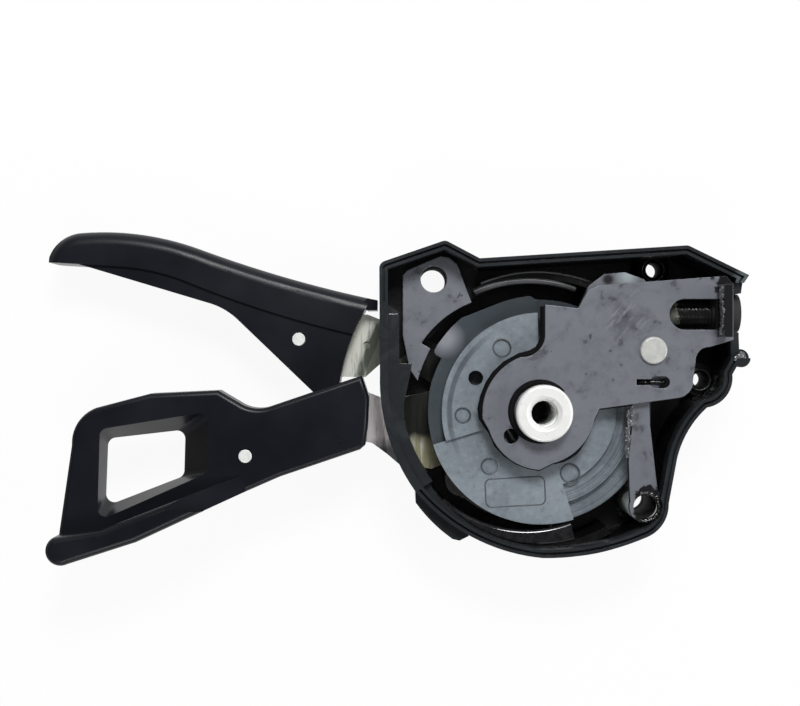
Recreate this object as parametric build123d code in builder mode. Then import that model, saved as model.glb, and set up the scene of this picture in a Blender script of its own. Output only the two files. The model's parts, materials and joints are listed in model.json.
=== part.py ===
from build123d import *
import os
from math import acos, cos, degrees, hypot, radians, sin

# Trigger gear shifter with its cover off: a moulded tray, two levers, a cable drum with its
# ratchet and two pawls, all on one hollow axle. Millimetres. The axle stands on Z, the tray's
# flat back lies on z = 0 and its open side faces +Z. The levers reach out towards -X.
# Angles are in degrees about the axle, from +X.

# Fits
press_fit = 0.02  # radial room of pieces pressed together
running_fit = 0.05  # radial room of pieces that turn on a pin
stack_gap = 0.1  # end room between pieces stacked on the axle
touch_gap = 0.06  # room of a spring beside what it pushes
pass_gap = 0.3  # room between pieces that move past each other

# Tray
floor_t = 2.0
rim_height = 15.0
rim_t = 1.3
groove_in = 0.5  # groove for the cover's edge, in from the rim's outside
groove_w = 0.35
groove_depth = 0.7
band_t = 3.0  # bridge of the rim over the lever slot
band_low = 8.5
band_high = 14.2
slot_start = 145.0  # lever slot in the tray's left side
slot_end = 212.0
slot_inner_r = 16.5
slot_lip = 0.5  # the floor goes this far past the round wall's inner face in the slot
chamber_r = 20.7  # round wall about the drum
chamber_room = 1.7  # between it and the drive pawl's eye
chamber_wall_t = 1.3
chamber_height = 11.5
chamber_start = 66.0
chamber_end = 300.0
seat_height = 9.0  # shelf for the mounting plate
seat_start = 119.0
bracket_t = 2.1  # stands out of the round wall by this much
bracket_start = 212.0
bracket_full = 215.7
bracket_turn = 235.0
bracket_low = 237.5
bracket_end = 239.5
bracket_height = 13.0
bracket_round = 0.4
step_out = 3.4  # thicker stretch of wall at the lower right, out from the round wall's inner face
step_mid_out = 2.4
step_start = 272.0
step_end = 299.5
step_height = 13.6
lug_r = 1.4

# Tray outline
left_top = (-25.2, 23.1)
peak = (-15.0, 26.6)
dip = (-9.7, 23.8)
right_top = (22.4, 25.8)
nose_top = (31.8, 21.2)
nose_low = (31.0, 20.0)
waist = (30.5, 15.4)
lug_at = (30.6, 8.4)
ear_start = (29.2, 5.9)
ear_mid = (28.3, 2.6)
ear_end = (25.3, 0.8)
flank_mid = (22.1, -3.3)
flank_top = (20.7, -7.0)
flank_low = (19.4, -14.0)
toe_mid = (18.6, -17.0)
toe_end = (16.0, -19.2)
keel_out = 1.7  # the outline's lower part goes this far outside the round wall's inner face
keel_mid_out = 2.5
heel_out = 2.4
keel_mid_angle = 291.5
heel_mid_angle = 225.5
heel_angle = 211.0
side_mid = (-24.0, -3.0)
side_top = (-25.1, 6.0)
corner_r = 1.2

# Screw and clamp holes
screw_r = 1.2
boss_r = 2.6
boss_ring_r = 1.9  # raised ring on the ear's boss
boss_step = 0.7
top_screw = (18.9, 22.6)
top_boss_height = 5.0
ear_screw = (26.1, 4.9)
ear_boss_height = 6.5
toe_screw = (16.0, -14.6)
toe_screw_r = 1.85
spacer_r = 2.5
clamp_hole = (-16.7, 20.8)
clamp_hole_r = 2.05

# Axle
axle_r = 4.0
axle_bore_r = 2.1
axle_spigot_r = 5.0
axle_sink = 1.2  # how deep the spigot goes into the tray's floor
axle_flange_r = 6.5
axle_flange_t = 0.9
axle_neck_r = 3.2
neck_reach = 1.5  # how far the neck goes into the collar
collar_r = 4.35
collar_t = 2.7
collar_mouth_r = 2.7
collar_chamfer = 0.3

# Levers' steel plates
arm_t = 1.5
hub_r = 7.5
washer_t = 0.4
washer_r = 6.8
pull_axis = 157.0  # direction of the pull lever's arm
pull_bend_start = 27.8
pull_bend_end = 29.2
pull_rise = 1.2
release_axis = 188.0
release_bend_start = 24.8
release_bend_end = 28.0
release_rise = 5.6
lever_pin_r = 1.03
pull_pin_at = (-38.1, 11.4)
dimple_at = (-27.3, 10.5)
dimple_r = 0.6
dimple_depth = 0.4
release_pin_at = (-46.0, -6.8)

# Ratchet and pawls
tooth_count = 30
tooth_phase = 6.0  # a steep tooth face stands at this angle
tooth_depth = 1.4
eye_room = 0.8  # between the teeth and the drive pawl's eye
ratchet_t = 1.5
ratchet_w = 3.0  # from the teeth's roots in to the drum's boss
pawl_t = 1.3
pawl_w = 2.4
pawl_room = 0.55  # between the teeth and the inner edge of a pawl that is in them
pawl_eye_r = 2.4
nose_back = 8.0  # length of a nose along the tooth's ramp, degrees
heel_run = 2.0  # from there out to the pawl's inner edge, degrees
nose_side = 0.8  # room before the steep face, degrees
nose_room = 0.25  # room over the ramp
pawl_root_w = 3.4  # where a pawl leaves its eye
nose_slope = 0.5  # the back of a nose falls by this much
hold_pivot_r = 19.5
hold_pivot_angle = 29.5
hold_axle_r = 1.5
hold_head_r = 2.1
hold_head_t = 0.6
hold_tooth = 66.0  # steep face that the holding pawl works on
hold_lift = 6.8  # turn that takes the holding pawl's nose out of the teeth, degrees
follower_r = 0.8
follower_angle = 44.0
cam_rise = 0.35
cam_start = 30.0
cam_turn = 12.0  # the release lever's travel
drive_pivot_angle = 222.0
drive_pin_r = 1.2
drive_tooth = 258.0  # steep face that the drive pawl works on
drive_dip = 8.0  # turn that takes the drive pawl's nose into the teeth, degrees

# Cable drum
drum_core_r = 14.8
drum_rib_r = 15.5
drum_edge_r = 17.6
drum_flange_t = 1.2
drum_h = 3.9
drum_step = 0.6  # the low part of the drum's face lies this much under the high part
drum_band_step = 1.5  # the outer band lies this much under the high part
drum_split = 197.0  # edge between the high and the low part
drum_low_end = 287.0
drum_inner_step_r = 11.8
lobe_room = 1.5  # between the drum's lobe and the round wall
lobe_start = 92.0
lobe_front_r = 18.2
lobe_front_end = 111.0
lobe_peak = 130.0
lobe_end = 151.5
lobe_front_round = 1.2
lobe_end_round = 0.7
well_r = 8.4  # well for the drum's spring
well_depth = 2.6
dot_depth = 0.3
high_dots = ((-6.1, 10.0, 1.4), (-12.2, -0.5, 1.2))  # x, y, radius
low_dots = ((4.6, -9.6, 1.5), (-8.0, -8.5, 1.3))
peg_hole = (-10.2, 5.3)
peg_hole_r = 1.15
peg_hole_depth = 3.2

# Plates over the drum
strut_t = 1.2
plate_t = 1.3
tab_height = 20.0
tab_front = 26.8
tab_t = 1.3
tab_low = 11.6
tab_high = 19.6
window_w = 4.7
window_start = 19.5
window_y = 15.15
keyhole_w = 0.9
keyhole_start = 14.4
keyhole_at = (18.0, 4.7)
keyhole_eye = (3.0, 1.8)
sight_hole = (-4.9, -3.6)
sight_hole_r = 1.15
mounting_plate_t = 1.5
plate_setback = 0.8  # of its round edge from the round wall's inner face
notch_in = 1.3  # the round edge comes in by this much at its upper end
notch_start = 122.0
notch_mid = 137.0
tail_start = 150.0
tail_end = 166.0
tail_w = 1.8

# Cable guide
cable_r = 0.6
guide_bore_r = 0.9
guide_r = 2.3
guide_head_r = 3.0
guide_start = 19.8
guide_head_start = 26.5
guide_end = 31.0
adjuster_r = 2.1  # tapped socket for a barrel adjuster
adjuster_depth = 4.5

# Springs
wire_r = 0.25
coil_turns = 3
coil_steps = 10  # straight runs in a turn
coil_room = 0.2  # between a coil and the pin in it
hold_leg_end = (23.2, 5.6)
bow_wire_r = 0.4
bow_out = 1.7  # the bow runs this far outside the drive pawl's pin
bow_post = 305.0  # the bow's end rests by a post at this angle
bow_post_r = 0.9
clock_turns = 3.5
clock_t = 0.35
clock_steps = 56
release_post_r = 1.3
post_room = 0.1  # between the release spring's post and the bow
release_post_angle = 285.0
release_post_height = 6.4
release_ear_start = 296.0
release_ear_end = 306.0
release_ear_r = 12.5
ear_leg_turn = 1.6  # the spring's leg lies this many degrees beside the ear
ear_leg_in = 1.5

# Levers' grips
pull_bar_low = 0.6
pull_bar_high = 9.0
pull_web_low = 2.2
pull_web_high = 8.5
pull_end_r = 31.9
pull_bar_round = 2.2
bumper_x = -25.6  # the lever's stop ends here, beside the tray
release_low = 9.6
release_web_high = 13.8
release_paddle_high = 17.6
release_round = 0.8
window_round = 1.3
paddle_round = 1.0
pad_start = -46.4  # the finger pad leaves the arm here and has its full height at the next value
pad_full = -58.0

# Heights and radii, each from the pieces beside it
axle_low = floor_t - axle_sink
pull_z = floor_t + axle_flange_t + stack_gap
lower_washer_z = pull_z + arm_t + stack_gap
release_z = lower_washer_z + washer_t + stack_gap
upper_washer_z = release_z + arm_t + stack_gap
ratchet_z = upper_washer_z + washer_t + stack_gap
pawl_z = ratchet_z + (ratchet_t - pawl_t) / 2
drum_z = ratchet_z + ratchet_t
drum_top = drum_z + drum_h
strut_z = drum_top + 2 * stack_gap
plate_z = strut_z + strut_t
plate_top = plate_z + plate_t
neck_top = plate_top + neck_reach
collar_top = plate_top + collar_t
well_z = drum_top - well_depth
bracket_r = chamber_r + chamber_wall_t + bracket_t
lobe_r = chamber_r - lobe_room
notch_r = chamber_r + plate_setback
tail_r = lobe_r + 2 * pass_gap
drive_pivot_r = chamber_r - chamber_room - pawl_eye_r
tip_r = drive_pivot_r - pawl_eye_r - eye_room
root_r = tip_r - tooth_depth
ratchet_bore_r = root_r - ratchet_w
pawl_low_r = tip_r + pawl_room
follower_at_r = pawl_low_r + pawl_w / 2
bow_r = drive_pivot_r + bow_out
release_post_at_r = bow_r - bow_wire_r - post_room - release_post_r
cable_y = drum_core_r + cable_r
cable_z = drum_z + drum_flange_t + cable_r

os.makedirs("parts", exist_ok=True)


def polar(radius, angle):
    return (radius * cos(radians(angle)), radius * sin(radians(angle)))


def turned(point, centre, angle):
    dx, dy = point[0] - centre[0], point[1] - centre[1]
    c, s = cos(radians(angle)), sin(radians(angle))
    return (centre[0] + dx * c - dy * s, centre[1] + dx * s + dy * c)


def arc(radius, start, end):
    ThreePointArc(polar(radius, start), polar(radius, (start + end) / 2), polar(radius, end))


def sector(inner, outer, start, end, mode=Mode.ADD):
    # part of a ring about the axle
    with BuildLine() as outline:
        Line(polar(inner, start), polar(outer, start))
        arc(outer, start, end)
        Line(polar(outer, end), polar(inner, end))
        arc(inner, end, start)
    make_face(outline.edges(), mode=mode)


def polygon(*points):
    with BuildLine() as outline:
        Polyline(*points, close=True)
    make_face(outline.edges())


def ring(low, high, outer, inner):
    with BuildPart() as made:
        with BuildSketch(Plane.XY.offset(low)):
            Circle(outer)
            Circle(inner, mode=Mode.SUBTRACT)
        extrude(amount=high - low)
    return made.part


def bent_sheet(axis, start, end, low, rise):
    # side view of a steel plate with one joggle, along the direction of its arm
    side = Plane(origin=(0, 0, 0), x_dir=(*polar(1, axis), 0), z_dir=(*polar(1, axis - 90), 0))
    reach = 3 * end
    top = low + arm_t
    with BuildSketch(side) as view:
        polygon(
            (-reach, low), (start, low), (end, low + rise), (reach, low + rise),
            (reach, top + rise), (end, top + rise), (start, top), (-reach, top),
        )
    return view.sketch


def pawl_outline(tooth, pivot_r, pivot_angle, rest_turn):
    # curved strut from its eye to its nose, drawn in the teeth and turned to where it rests
    ramp = (tip_r - root_r) * tooth_count / 360
    steep = tooth - nose_side
    tip = root_r + ramp * nose_side + nose_room
    heel = steep - nose_back - heel_run
    eye = polar(pivot_r, pivot_angle)
    high_r = pawl_low_r + pawl_w
    corners = (
        polar(tip, steep), polar(tip + ramp * nose_back, steep - nose_back), polar(pawl_low_r, heel),
        polar(pawl_low_r, (heel + pivot_angle) / 2), polar(pivot_r - pawl_root_w / 2, pivot_angle),
        polar(pivot_r + pawl_root_w / 2, pivot_angle), polar(high_r, (steep + pivot_angle) / 2),
        polar(high_r - nose_slope, steep - nose_back / 2), polar(pawl_low_r, steep),
    )
    at = [turned(corner, eye, rest_turn) for corner in corners]
    with BuildLine() as outline:
        Polyline(*at[:3])
        ThreePointArc(*at[2:5])
        Line(at[4], at[5])
        ThreePointArc(*at[5:8])
        Polyline(*at[7:], at[0])
    make_face(outline.edges())
    with Locations(eye):
        Circle(pawl_eye_r)


def coil(at, low, high, pin_r):
    # coil spring that stands round a pin, of short straight runs of six-sided wire
    radius = pin_r + coil_room + wire_r
    rise = high - low - 2 * wire_r
    points = []
    for step in range(coil_turns * coil_steps + 1):
        x, y = polar(radius, step * 360 / coil_steps)
        points.append((at[0] + x, at[1] + y, low + wire_r + rise * step / (coil_turns * coil_steps)))
    with BuildPart() as made:
        with BuildLine() as path:
            Polyline(*points)
        with BuildSketch(Plane(origin=path.line @ 0, x_dir=(0, 0, 1), z_dir=path.line % 0)):
            RegularPolygon(wire_r, 6)
        sweep(transition=Transition.RIGHT)
    return made.part


def straight_wire(start, end, z):
    along = (end[0] - start[0], end[1] - start[1], 0)
    with BuildPart() as made:
        with BuildSketch(Plane(origin=(*start, z), x_dir=(0, 0, 1), z_dir=along)):
            RegularPolygon(wire_r, 6)
        extrude(amount=hypot(*along))
    return made.part


# Places worked out from the sizes
hold_pivot = polar(hold_pivot_r, hold_pivot_angle)
drive_pivot = polar(drive_pivot_r, drive_pivot_angle)
follower_rest = turned(polar(follower_at_r, follower_angle), hold_pivot, -hold_lift)
follower_rest_r = hypot(*follower_rest)
cam_r = follower_rest_r - follower_r - pass_gap
release_post_at = polar(release_post_at_r, release_post_angle)
bow_reach = pawl_eye_r + bow_wire_r + touch_gap
bow_share = (drive_pivot_r**2 + bow_r**2 - bow_reach**2) / (2 * drive_pivot_r * bow_r)
bow_start = drive_pivot_angle + degrees(acos(bow_share))
bow_end = bow_post - degrees((bow_post_r + touch_gap) / bow_r)
keel_mid = polar(chamber_r + keel_mid_out, keel_mid_angle)
keel = polar(chamber_r + keel_out, 270)
heel_mid = polar(chamber_r + keel_out, heel_mid_angle)
heel = polar(chamber_r + heel_out, heel_angle)

# Tray: floor, rim, round wall, shelf, bosses, and the slot that the levers come out of
with BuildSketch() as tray_plan:
    with BuildLine():
        Polyline(side_top, left_top, peak, dip, right_top, nose_top, nose_low)
        ThreePointArc(nose_low, waist, lug_at)
        Line(lug_at, ear_start)
        ThreePointArc(ear_start, ear_mid, ear_end)
        ThreePointArc(ear_end, flank_mid, flank_top)
        Line(flank_top, flank_low)
        ThreePointArc(flank_low, toe_mid, toe_end)
        ThreePointArc(toe_end, keel_mid, keel)
        ThreePointArc(keel, heel_mid, heel)
        ThreePointArc(heel, side_mid, side_top)
    make_face()
    for corner in (left_top, peak, right_top):
        fillet(tray_plan.vertices().sort_by_distance(corner)[0], corner_r)

with BuildSketch() as slot_plan:
    sector(slot_inner_r, 2 * bracket_r, slot_start, slot_end)

with BuildPart() as housing:
    with BuildSketch():
        add(tray_plan.sketch)
        with Locations(lug_at):
            Circle(lug_r)
    extrude(amount=floor_t)
    with BuildSketch(Plane.XY.offset(floor_t)):
        add(tray_plan.sketch)
        offset(amount=-rim_t, mode=Mode.SUBTRACT)
        with Locations(lug_at):
            Circle(lug_r)
    extrude(amount=rim_height - floor_t)
    with BuildSketch(Plane.XY.offset(floor_t)):
        sector(chamber_r, chamber_r + chamber_wall_t, slot_end, chamber_end)
        sector(chamber_r, chamber_r + chamber_wall_t, chamber_start, seat_start)
        add(tray_plan.sketch, mode=Mode.INTERSECT)
    extrude(amount=chamber_height - floor_t)
    with BuildSketch(Plane.XY.offset(floor_t)):
        polygon(left_top, peak, dip, polar(chamber_r, seat_start), polar(chamber_r, slot_start), side_top)
        Circle(chamber_r, mode=Mode.SUBTRACT)
        add(tray_plan.sketch, mode=Mode.INTERSECT)
    extrude(amount=seat_height - floor_t)
    with BuildSketch():
        with BuildLine():
            Polyline(polar(chamber_r, bracket_start), polar(chamber_r + heel_out, bracket_start),
                     polar(bracket_r, bracket_full))
            arc(bracket_r, bracket_full, bracket_turn)
            Polyline(polar(bracket_r, bracket_turn), polar(bracket_r - bracket_round, bracket_low),
                     polar(chamber_r + keel_out, bracket_end), polar(chamber_r, bracket_end))
            arc(chamber_r, bracket_end, bracket_start)
        make_face()
    extrude(amount=bracket_height)
    with BuildSketch():
        with BuildLine():
            ThreePointArc(polar(chamber_r + keel_out, step_start),
                          polar(chamber_r + step_mid_out, (step_start + step_end) / 2),
                          polar(chamber_r + step_out, step_end))
            Line(polar(chamber_r + step_out, step_end), polar(chamber_r + keel_out, step_end))
            arc(chamber_r + keel_out, step_end, step_start)
        make_face()
    extrude(amount=step_height)
    with BuildSketch(Plane.XY.offset(floor_t)):
        with Locations(top_screw):
            Circle(boss_r)
        add(tray_plan.sketch, mode=Mode.INTERSECT)
    extrude(amount=top_boss_height - floor_t)
    with BuildSketch(Plane.XY.offset(floor_t)):
        with Locations(ear_screw):
            Circle(boss_r)
        add(tray_plan.sketch, mode=Mode.INTERSECT)
    extrude(amount=ear_boss_height - boss_step - floor_t)
    with BuildSketch(Plane.XY.offset(floor_t)):
        with Locations(ear_screw):
            Circle(boss_ring_r)
    extrude(amount=ear_boss_height - floor_t)
    with BuildSketch(Plane.XY.offset(floor_t)):
        with Locations(hold_pivot):
            Circle(boss_r)
        with Locations(polar(bow_r, bow_post)):
            Circle(bow_post_r)
    extrude(amount=release_z - floor_t)
    with BuildSketch(Plane.XY.offset(floor_t)):
        with Locations(release_post_at):
            Circle(release_post_r)
    extrude(amount=release_post_height - floor_t)
    with BuildSketch():
        sector(chamber_r + slot_lip, 2 * bracket_r, slot_start, slot_end)
    extrude(amount=floor_t, mode=Mode.SUBTRACT)
    with BuildSketch(Plane.XY.offset(floor_t)):
        add(slot_plan.sketch)
    extrude(amount=band_low - floor_t, mode=Mode.SUBTRACT)
    with BuildSketch(Plane.XY.offset(band_low)):
        add(tray_plan.sketch)
        offset(amount=-band_t, mode=Mode.SUBTRACT)
        add(slot_plan.sketch, mode=Mode.INTERSECT)
        Circle(tail_r, mode=Mode.SUBTRACT)
        sector(slot_inner_r, tail_r + tail_w + pass_gap, slot_start, tail_end, mode=Mode.SUBTRACT)
    extrude(amount=band_high - band_low)
    for groove_top, mode in ((rim_height, Mode.SUBTRACT), (band_high, Mode.INTERSECT)):
        with BuildSketch(Plane.XY.offset(groove_top - groove_depth)):
            add(tray_plan.sketch)
            offset(amount=-groove_in, mode=Mode.REPLACE)
            offset(amount=-groove_w, mode=Mode.SUBTRACT)
            add(slot_plan.sketch, mode=mode)
        extrude(amount=groove_depth, mode=Mode.SUBTRACT)
    with Locations((*top_screw, top_boss_height), (*ear_screw, ear_boss_height)):
        Hole(screw_r)
    with Locations((*toe_screw, floor_t)):
        Hole(toe_screw_r)
    with Locations((*clamp_hole, seat_height)):
        Hole(clamp_hole_r)
    with Locations((0, 0, floor_t)):
        Hole(axle_spigot_r + press_fit, depth=axle_sink)
    with Locations((*hold_pivot, release_z)):
        Hole(hold_axle_r + press_fit, depth=release_z - floor_t)
    with BuildSketch(Plane.XY.offset(floor_t)):
        with Locations(toe_screw):
            Circle(spacer_r + press_fit)
    extrude(amount=rim_height, mode=Mode.SUBTRACT)
    with BuildSketch(Plane.XY.offset(plate_z)):
        polygon((tab_front, nose_low[1]), (tab_front, lug_at[1]), (2 * tab_front, lug_at[1]),
                (2 * tab_front, nose_low[1]))
    extrude(amount=rim_height, mode=Mode.SUBTRACT)
    with BuildSketch(Plane.YZ.offset(guide_head_start)):
        with Locations((cable_y, cable_z)):
            Circle(guide_head_r + press_fit)
        with Locations((cable_y, cable_z + rim_height / 2)):
            Rectangle(2 * (guide_head_r + press_fit), rim_height)
    extrude(amount=guide_end, mode=Mode.SUBTRACT)
housing.part.label = "housing"
export_step(housing.part, "parts/housing.step")

# Steel plate in the tray's corner, round the clamp screw's hole
with BuildPart() as mounting_plate:
    with BuildSketch(Plane.XY.offset(seat_height)):
        with BuildLine():
            Polyline(polar(notch_r, tail_start), polar(tail_r, tail_start))
            arc(tail_r, tail_start, tail_end)
            Polyline(polar(tail_r, tail_end), polar(tail_r + tail_w, tail_end - 4), (-21.6, 12.0),
                     (-21.6, 21.5), (-20.8, 22.3), (-15.6, 24.5), (-14.3, 24.3), (-13.0, 23.2),
                     polar(notch_r - notch_in, notch_start))
            ThreePointArc(polar(notch_r - notch_in, notch_start), polar(notch_r - notch_in / 3, notch_mid),
                          polar(notch_r, tail_start))
        make_face()
    extrude(amount=mounting_plate_t)
    with Locations((*clamp_hole, seat_height + mounting_plate_t)):
        Hole(clamp_hole_r)
mounting_plate.part.label = "mounting_plate"
export_step(mounting_plate.part, "parts/mounting_plate.step")

# Hollow axle with a flange under the levers and a neck for the collar
with BuildPart() as axle_sleeve:
    with BuildSketch(Plane.XZ):
        polygon(
            (axle_bore_r, axle_low), (axle_spigot_r, axle_low), (axle_spigot_r, floor_t),
            (axle_flange_r, floor_t), (axle_flange_r, floor_t + axle_flange_t),
            (axle_r, floor_t + axle_flange_t), (axle_r, plate_z), (axle_neck_r, plate_z),
            (axle_neck_r, neck_top), (axle_bore_r, neck_top),
        )
    revolve(axis=Axis.Z)
axle_sleeve.part.label = "axle_sleeve"
export_step(axle_sleeve.part, "parts/axle_sleeve.step")

# Bright collar pressed on the axle's neck
with BuildPart() as axle_collar:
    with BuildSketch(Plane.XZ):
        collar_bore_r = axle_neck_r + press_fit
        mouth_depth = collar_mouth_r - axle_bore_r
        polygon(
            (collar_bore_r, plate_top), (collar_r, plate_top), (collar_r, collar_top - collar_chamfer),
            (collar_r - collar_chamfer, collar_top), (collar_mouth_r, collar_top),
            (axle_bore_r, collar_top - mouth_depth), (axle_bore_r, neck_top), (collar_bore_r, neck_top),
        )
    revolve(axis=Axis.Z)
axle_collar.part.label = "axle_collar"
export_step(axle_collar.part, "parts/axle_collar.step")

# Thrust washers between the levers and the drum
lower_washer = ring(lower_washer_z, lower_washer_z + washer_t, washer_r, axle_r + running_fit)
lower_washer.label = "lower_washer"
export_step(lower_washer, "parts/lower_washer.step")

upper_washer = ring(upper_washer_z, upper_washer_z + washer_t, washer_r, axle_r + running_fit)
upper_washer.label = "upper_washer"
export_step(upper_washer, "parts/upper_washer.step")

# Pull lever: steel plate with its hub, the arm out to the grip and the drive pawl's arm
with BuildPart() as pull_lever_plate:
    with BuildSketch(Plane.XY.offset(pull_z)):
        Circle(hub_r)
        polygon((-5.0, 5.6), (-20.0, 12.5), (-27.2, 15.4), (-39.0, 15.0), (-41.8, 12.4), (-39.6, 9.0),
                (-32.5, 5.4), (-27.6, 5.3), (-23.9, 8.6), (-17.0, 4.4), (-7.0, 1.0))
        polygon((0, 0), polar(hub_r, drive_pivot_angle - 25),
                turned((drive_pivot_r, -pawl_eye_r), (0, 0), drive_pivot_angle),
                turned((drive_pivot_r, pawl_eye_r), (0, 0), drive_pivot_angle),
                polar(hub_r, drive_pivot_angle + 25))
        with Locations(drive_pivot):
            Circle(pawl_eye_r)
            Circle(drive_pin_r + press_fit, mode=Mode.SUBTRACT)
        with Locations(pull_pin_at):
            Circle(lever_pin_r + press_fit, mode=Mode.SUBTRACT)
        Circle(axle_r + running_fit, mode=Mode.SUBTRACT)
    extrude(amount=pull_rise + arm_t)
    extrude(bent_sheet(pull_axis, pull_bend_start, pull_bend_end, pull_z, pull_rise),
            amount=3 * hub_r, both=True, mode=Mode.INTERSECT)
    with Locations((*dimple_at, pull_z + pull_rise + arm_t)):
        Hole(dimple_r, depth=dimple_depth)
pull_lever_plate.part.label = "pull_lever_plate"
export_step(pull_lever_plate.part, "parts/pull_lever_plate.step")

# Pull lever: moulded grip, a web with a thicker bar and thumb pad along its back
with BuildPart() as pull_lever_grip:
    with BuildSketch(Plane.XY.offset(pull_bar_low)):
        with BuildLine():
            back = ThreePointArc((-26.8, 17.9), (-41.0, 21.5), (-54.0, 25.8))
            pad = TangentArc((-54.0, 25.8), (-73.0, 28.4), tangent=back % 1)
            TangentArc((-73.0, 28.4), (-78.0, 24.8), tangent=pad % 1)
            Polyline((-78.0, 24.8), (-77.9, 23.6), (-66.0, 22.9))
            ThreePointArc((-66.0, 22.9), (-60.8, 22.1), (-56.0, 20.6))
            ThreePointArc((-56.0, 20.6), (-44.0, 16.2), polar(pull_end_r, 157.5))
            arc(pull_end_r, 157.5, 148.5)
            Line(polar(pull_end_r, 148.5), (-26.8, 17.9))
        make_face()
    extrude(amount=pull_bar_high - pull_bar_low)
    top_edges = pull_lever_grip.faces().sort_by(Axis.Z)[-1].edges()
    low_edges = pull_lever_grip.faces().sort_by(Axis.Z)[0].edges()
    fillet(top_edges.sort_by(Axis.Y)[-2:] + low_edges.sort_by(Axis.Y)[-2:], pull_bar_round)
    with BuildSketch(Plane.XY.offset(pull_web_low)):
        with BuildLine():
            Polyline((-74.0, 24.5), (-74.0, 23.6), (-52.6, 17.2))
            ThreePointArc((-52.6, 17.2), (-50.1, 16.2), (-47.9, 14.6))
            Polyline((-47.9, 14.6), (-35.4, 2.6), (-33.6, 1.8), polar(pull_end_r, 175))
            arc(pull_end_r, 175, 150)
            Polyline(polar(pull_end_r, 150), (-45.8, 20.0), (-60.0, 24.5), (-74.0, 24.5))
        make_face()
    extrude(amount=pull_web_high - pull_web_low)
    with Locations((*pull_pin_at, pull_web_high)):
        Hole(lever_pin_r + press_fit)
    with BuildSketch(Plane.XY.offset(pull_web_low)):
        polygon(polar(pull_end_r + 1, 149), (-27.2, 16.0), (bumper_x, 16.0), (bumper_x, 17.6), (-27.2, 17.9))
    extrude(amount=pull_web_high - pull_web_low)
    add(pull_lever_plate.part, mode=Mode.SUBTRACT)
pull_lever_grip.part.label = "pull_lever_grip"
export_step(pull_lever_grip.part, "parts/pull_lever_grip.step")

with BuildPart() as pull_lever_pin:
    with BuildSketch(Plane.XY.offset(pull_web_low)):
        with Locations(pull_pin_at):
            Circle(lever_pin_r)
    extrude(amount=pull_web_high - pull_web_low + stack_gap)
pull_lever_pin.part.label = "pull_lever_pin"
export_step(pull_lever_pin.part, "parts/pull_lever_pin.step")

# Release lever: steel plate with the cam arm that lifts the holding pawl and an ear for its spring
with BuildPart() as release_lever_plate:
    with BuildSketch(Plane.XY.offset(release_z)):
        Circle(hub_r)
        polygon((-4.0, 6.0), (-24.0, 1.6), (-27.6, 3.2), (-40.0, -1.2), (-47.8, -4.0), (-48.8, -7.6),
                (-46.0, -9.6), (-40.0, -7.6), (-28.3, -4.4), (-26.4, -5.0), (-22.2, -8.6), (-17.0, -9.4),
                (-5.5, -5.0))
        cam_low = follower_angle + 4
        cam_high = cam_low + cam_turn
        with BuildLine():
            Line((0, 0), polar(cam_r, cam_start))
            arc(cam_r, cam_start, cam_low)
            Line(polar(cam_r, cam_low), polar(cam_r + cam_rise, cam_high))
            arc(cam_r + cam_rise, cam_high, cam_high + 4)
            Line(polar(cam_r + cam_rise, cam_high + 4), (0, 0))
        make_face()
        sector(hub_r / 2, release_ear_r, release_ear_start, release_ear_end)
        with Locations(release_pin_at):
            Circle(lever_pin_r + press_fit, mode=Mode.SUBTRACT)
        Circle(axle_r + running_fit, mode=Mode.SUBTRACT)
    extrude(amount=release_rise + arm_t)
    extrude(bent_sheet(release_axis, release_bend_start, release_bend_end, release_z, release_rise),
            amount=3 * hub_r, both=True, mode=Mode.INTERSECT)
release_lever_plate.part.label = "release_lever_plate"
export_step(release_lever_plate.part, "parts/release_lever_plate.step")

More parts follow.
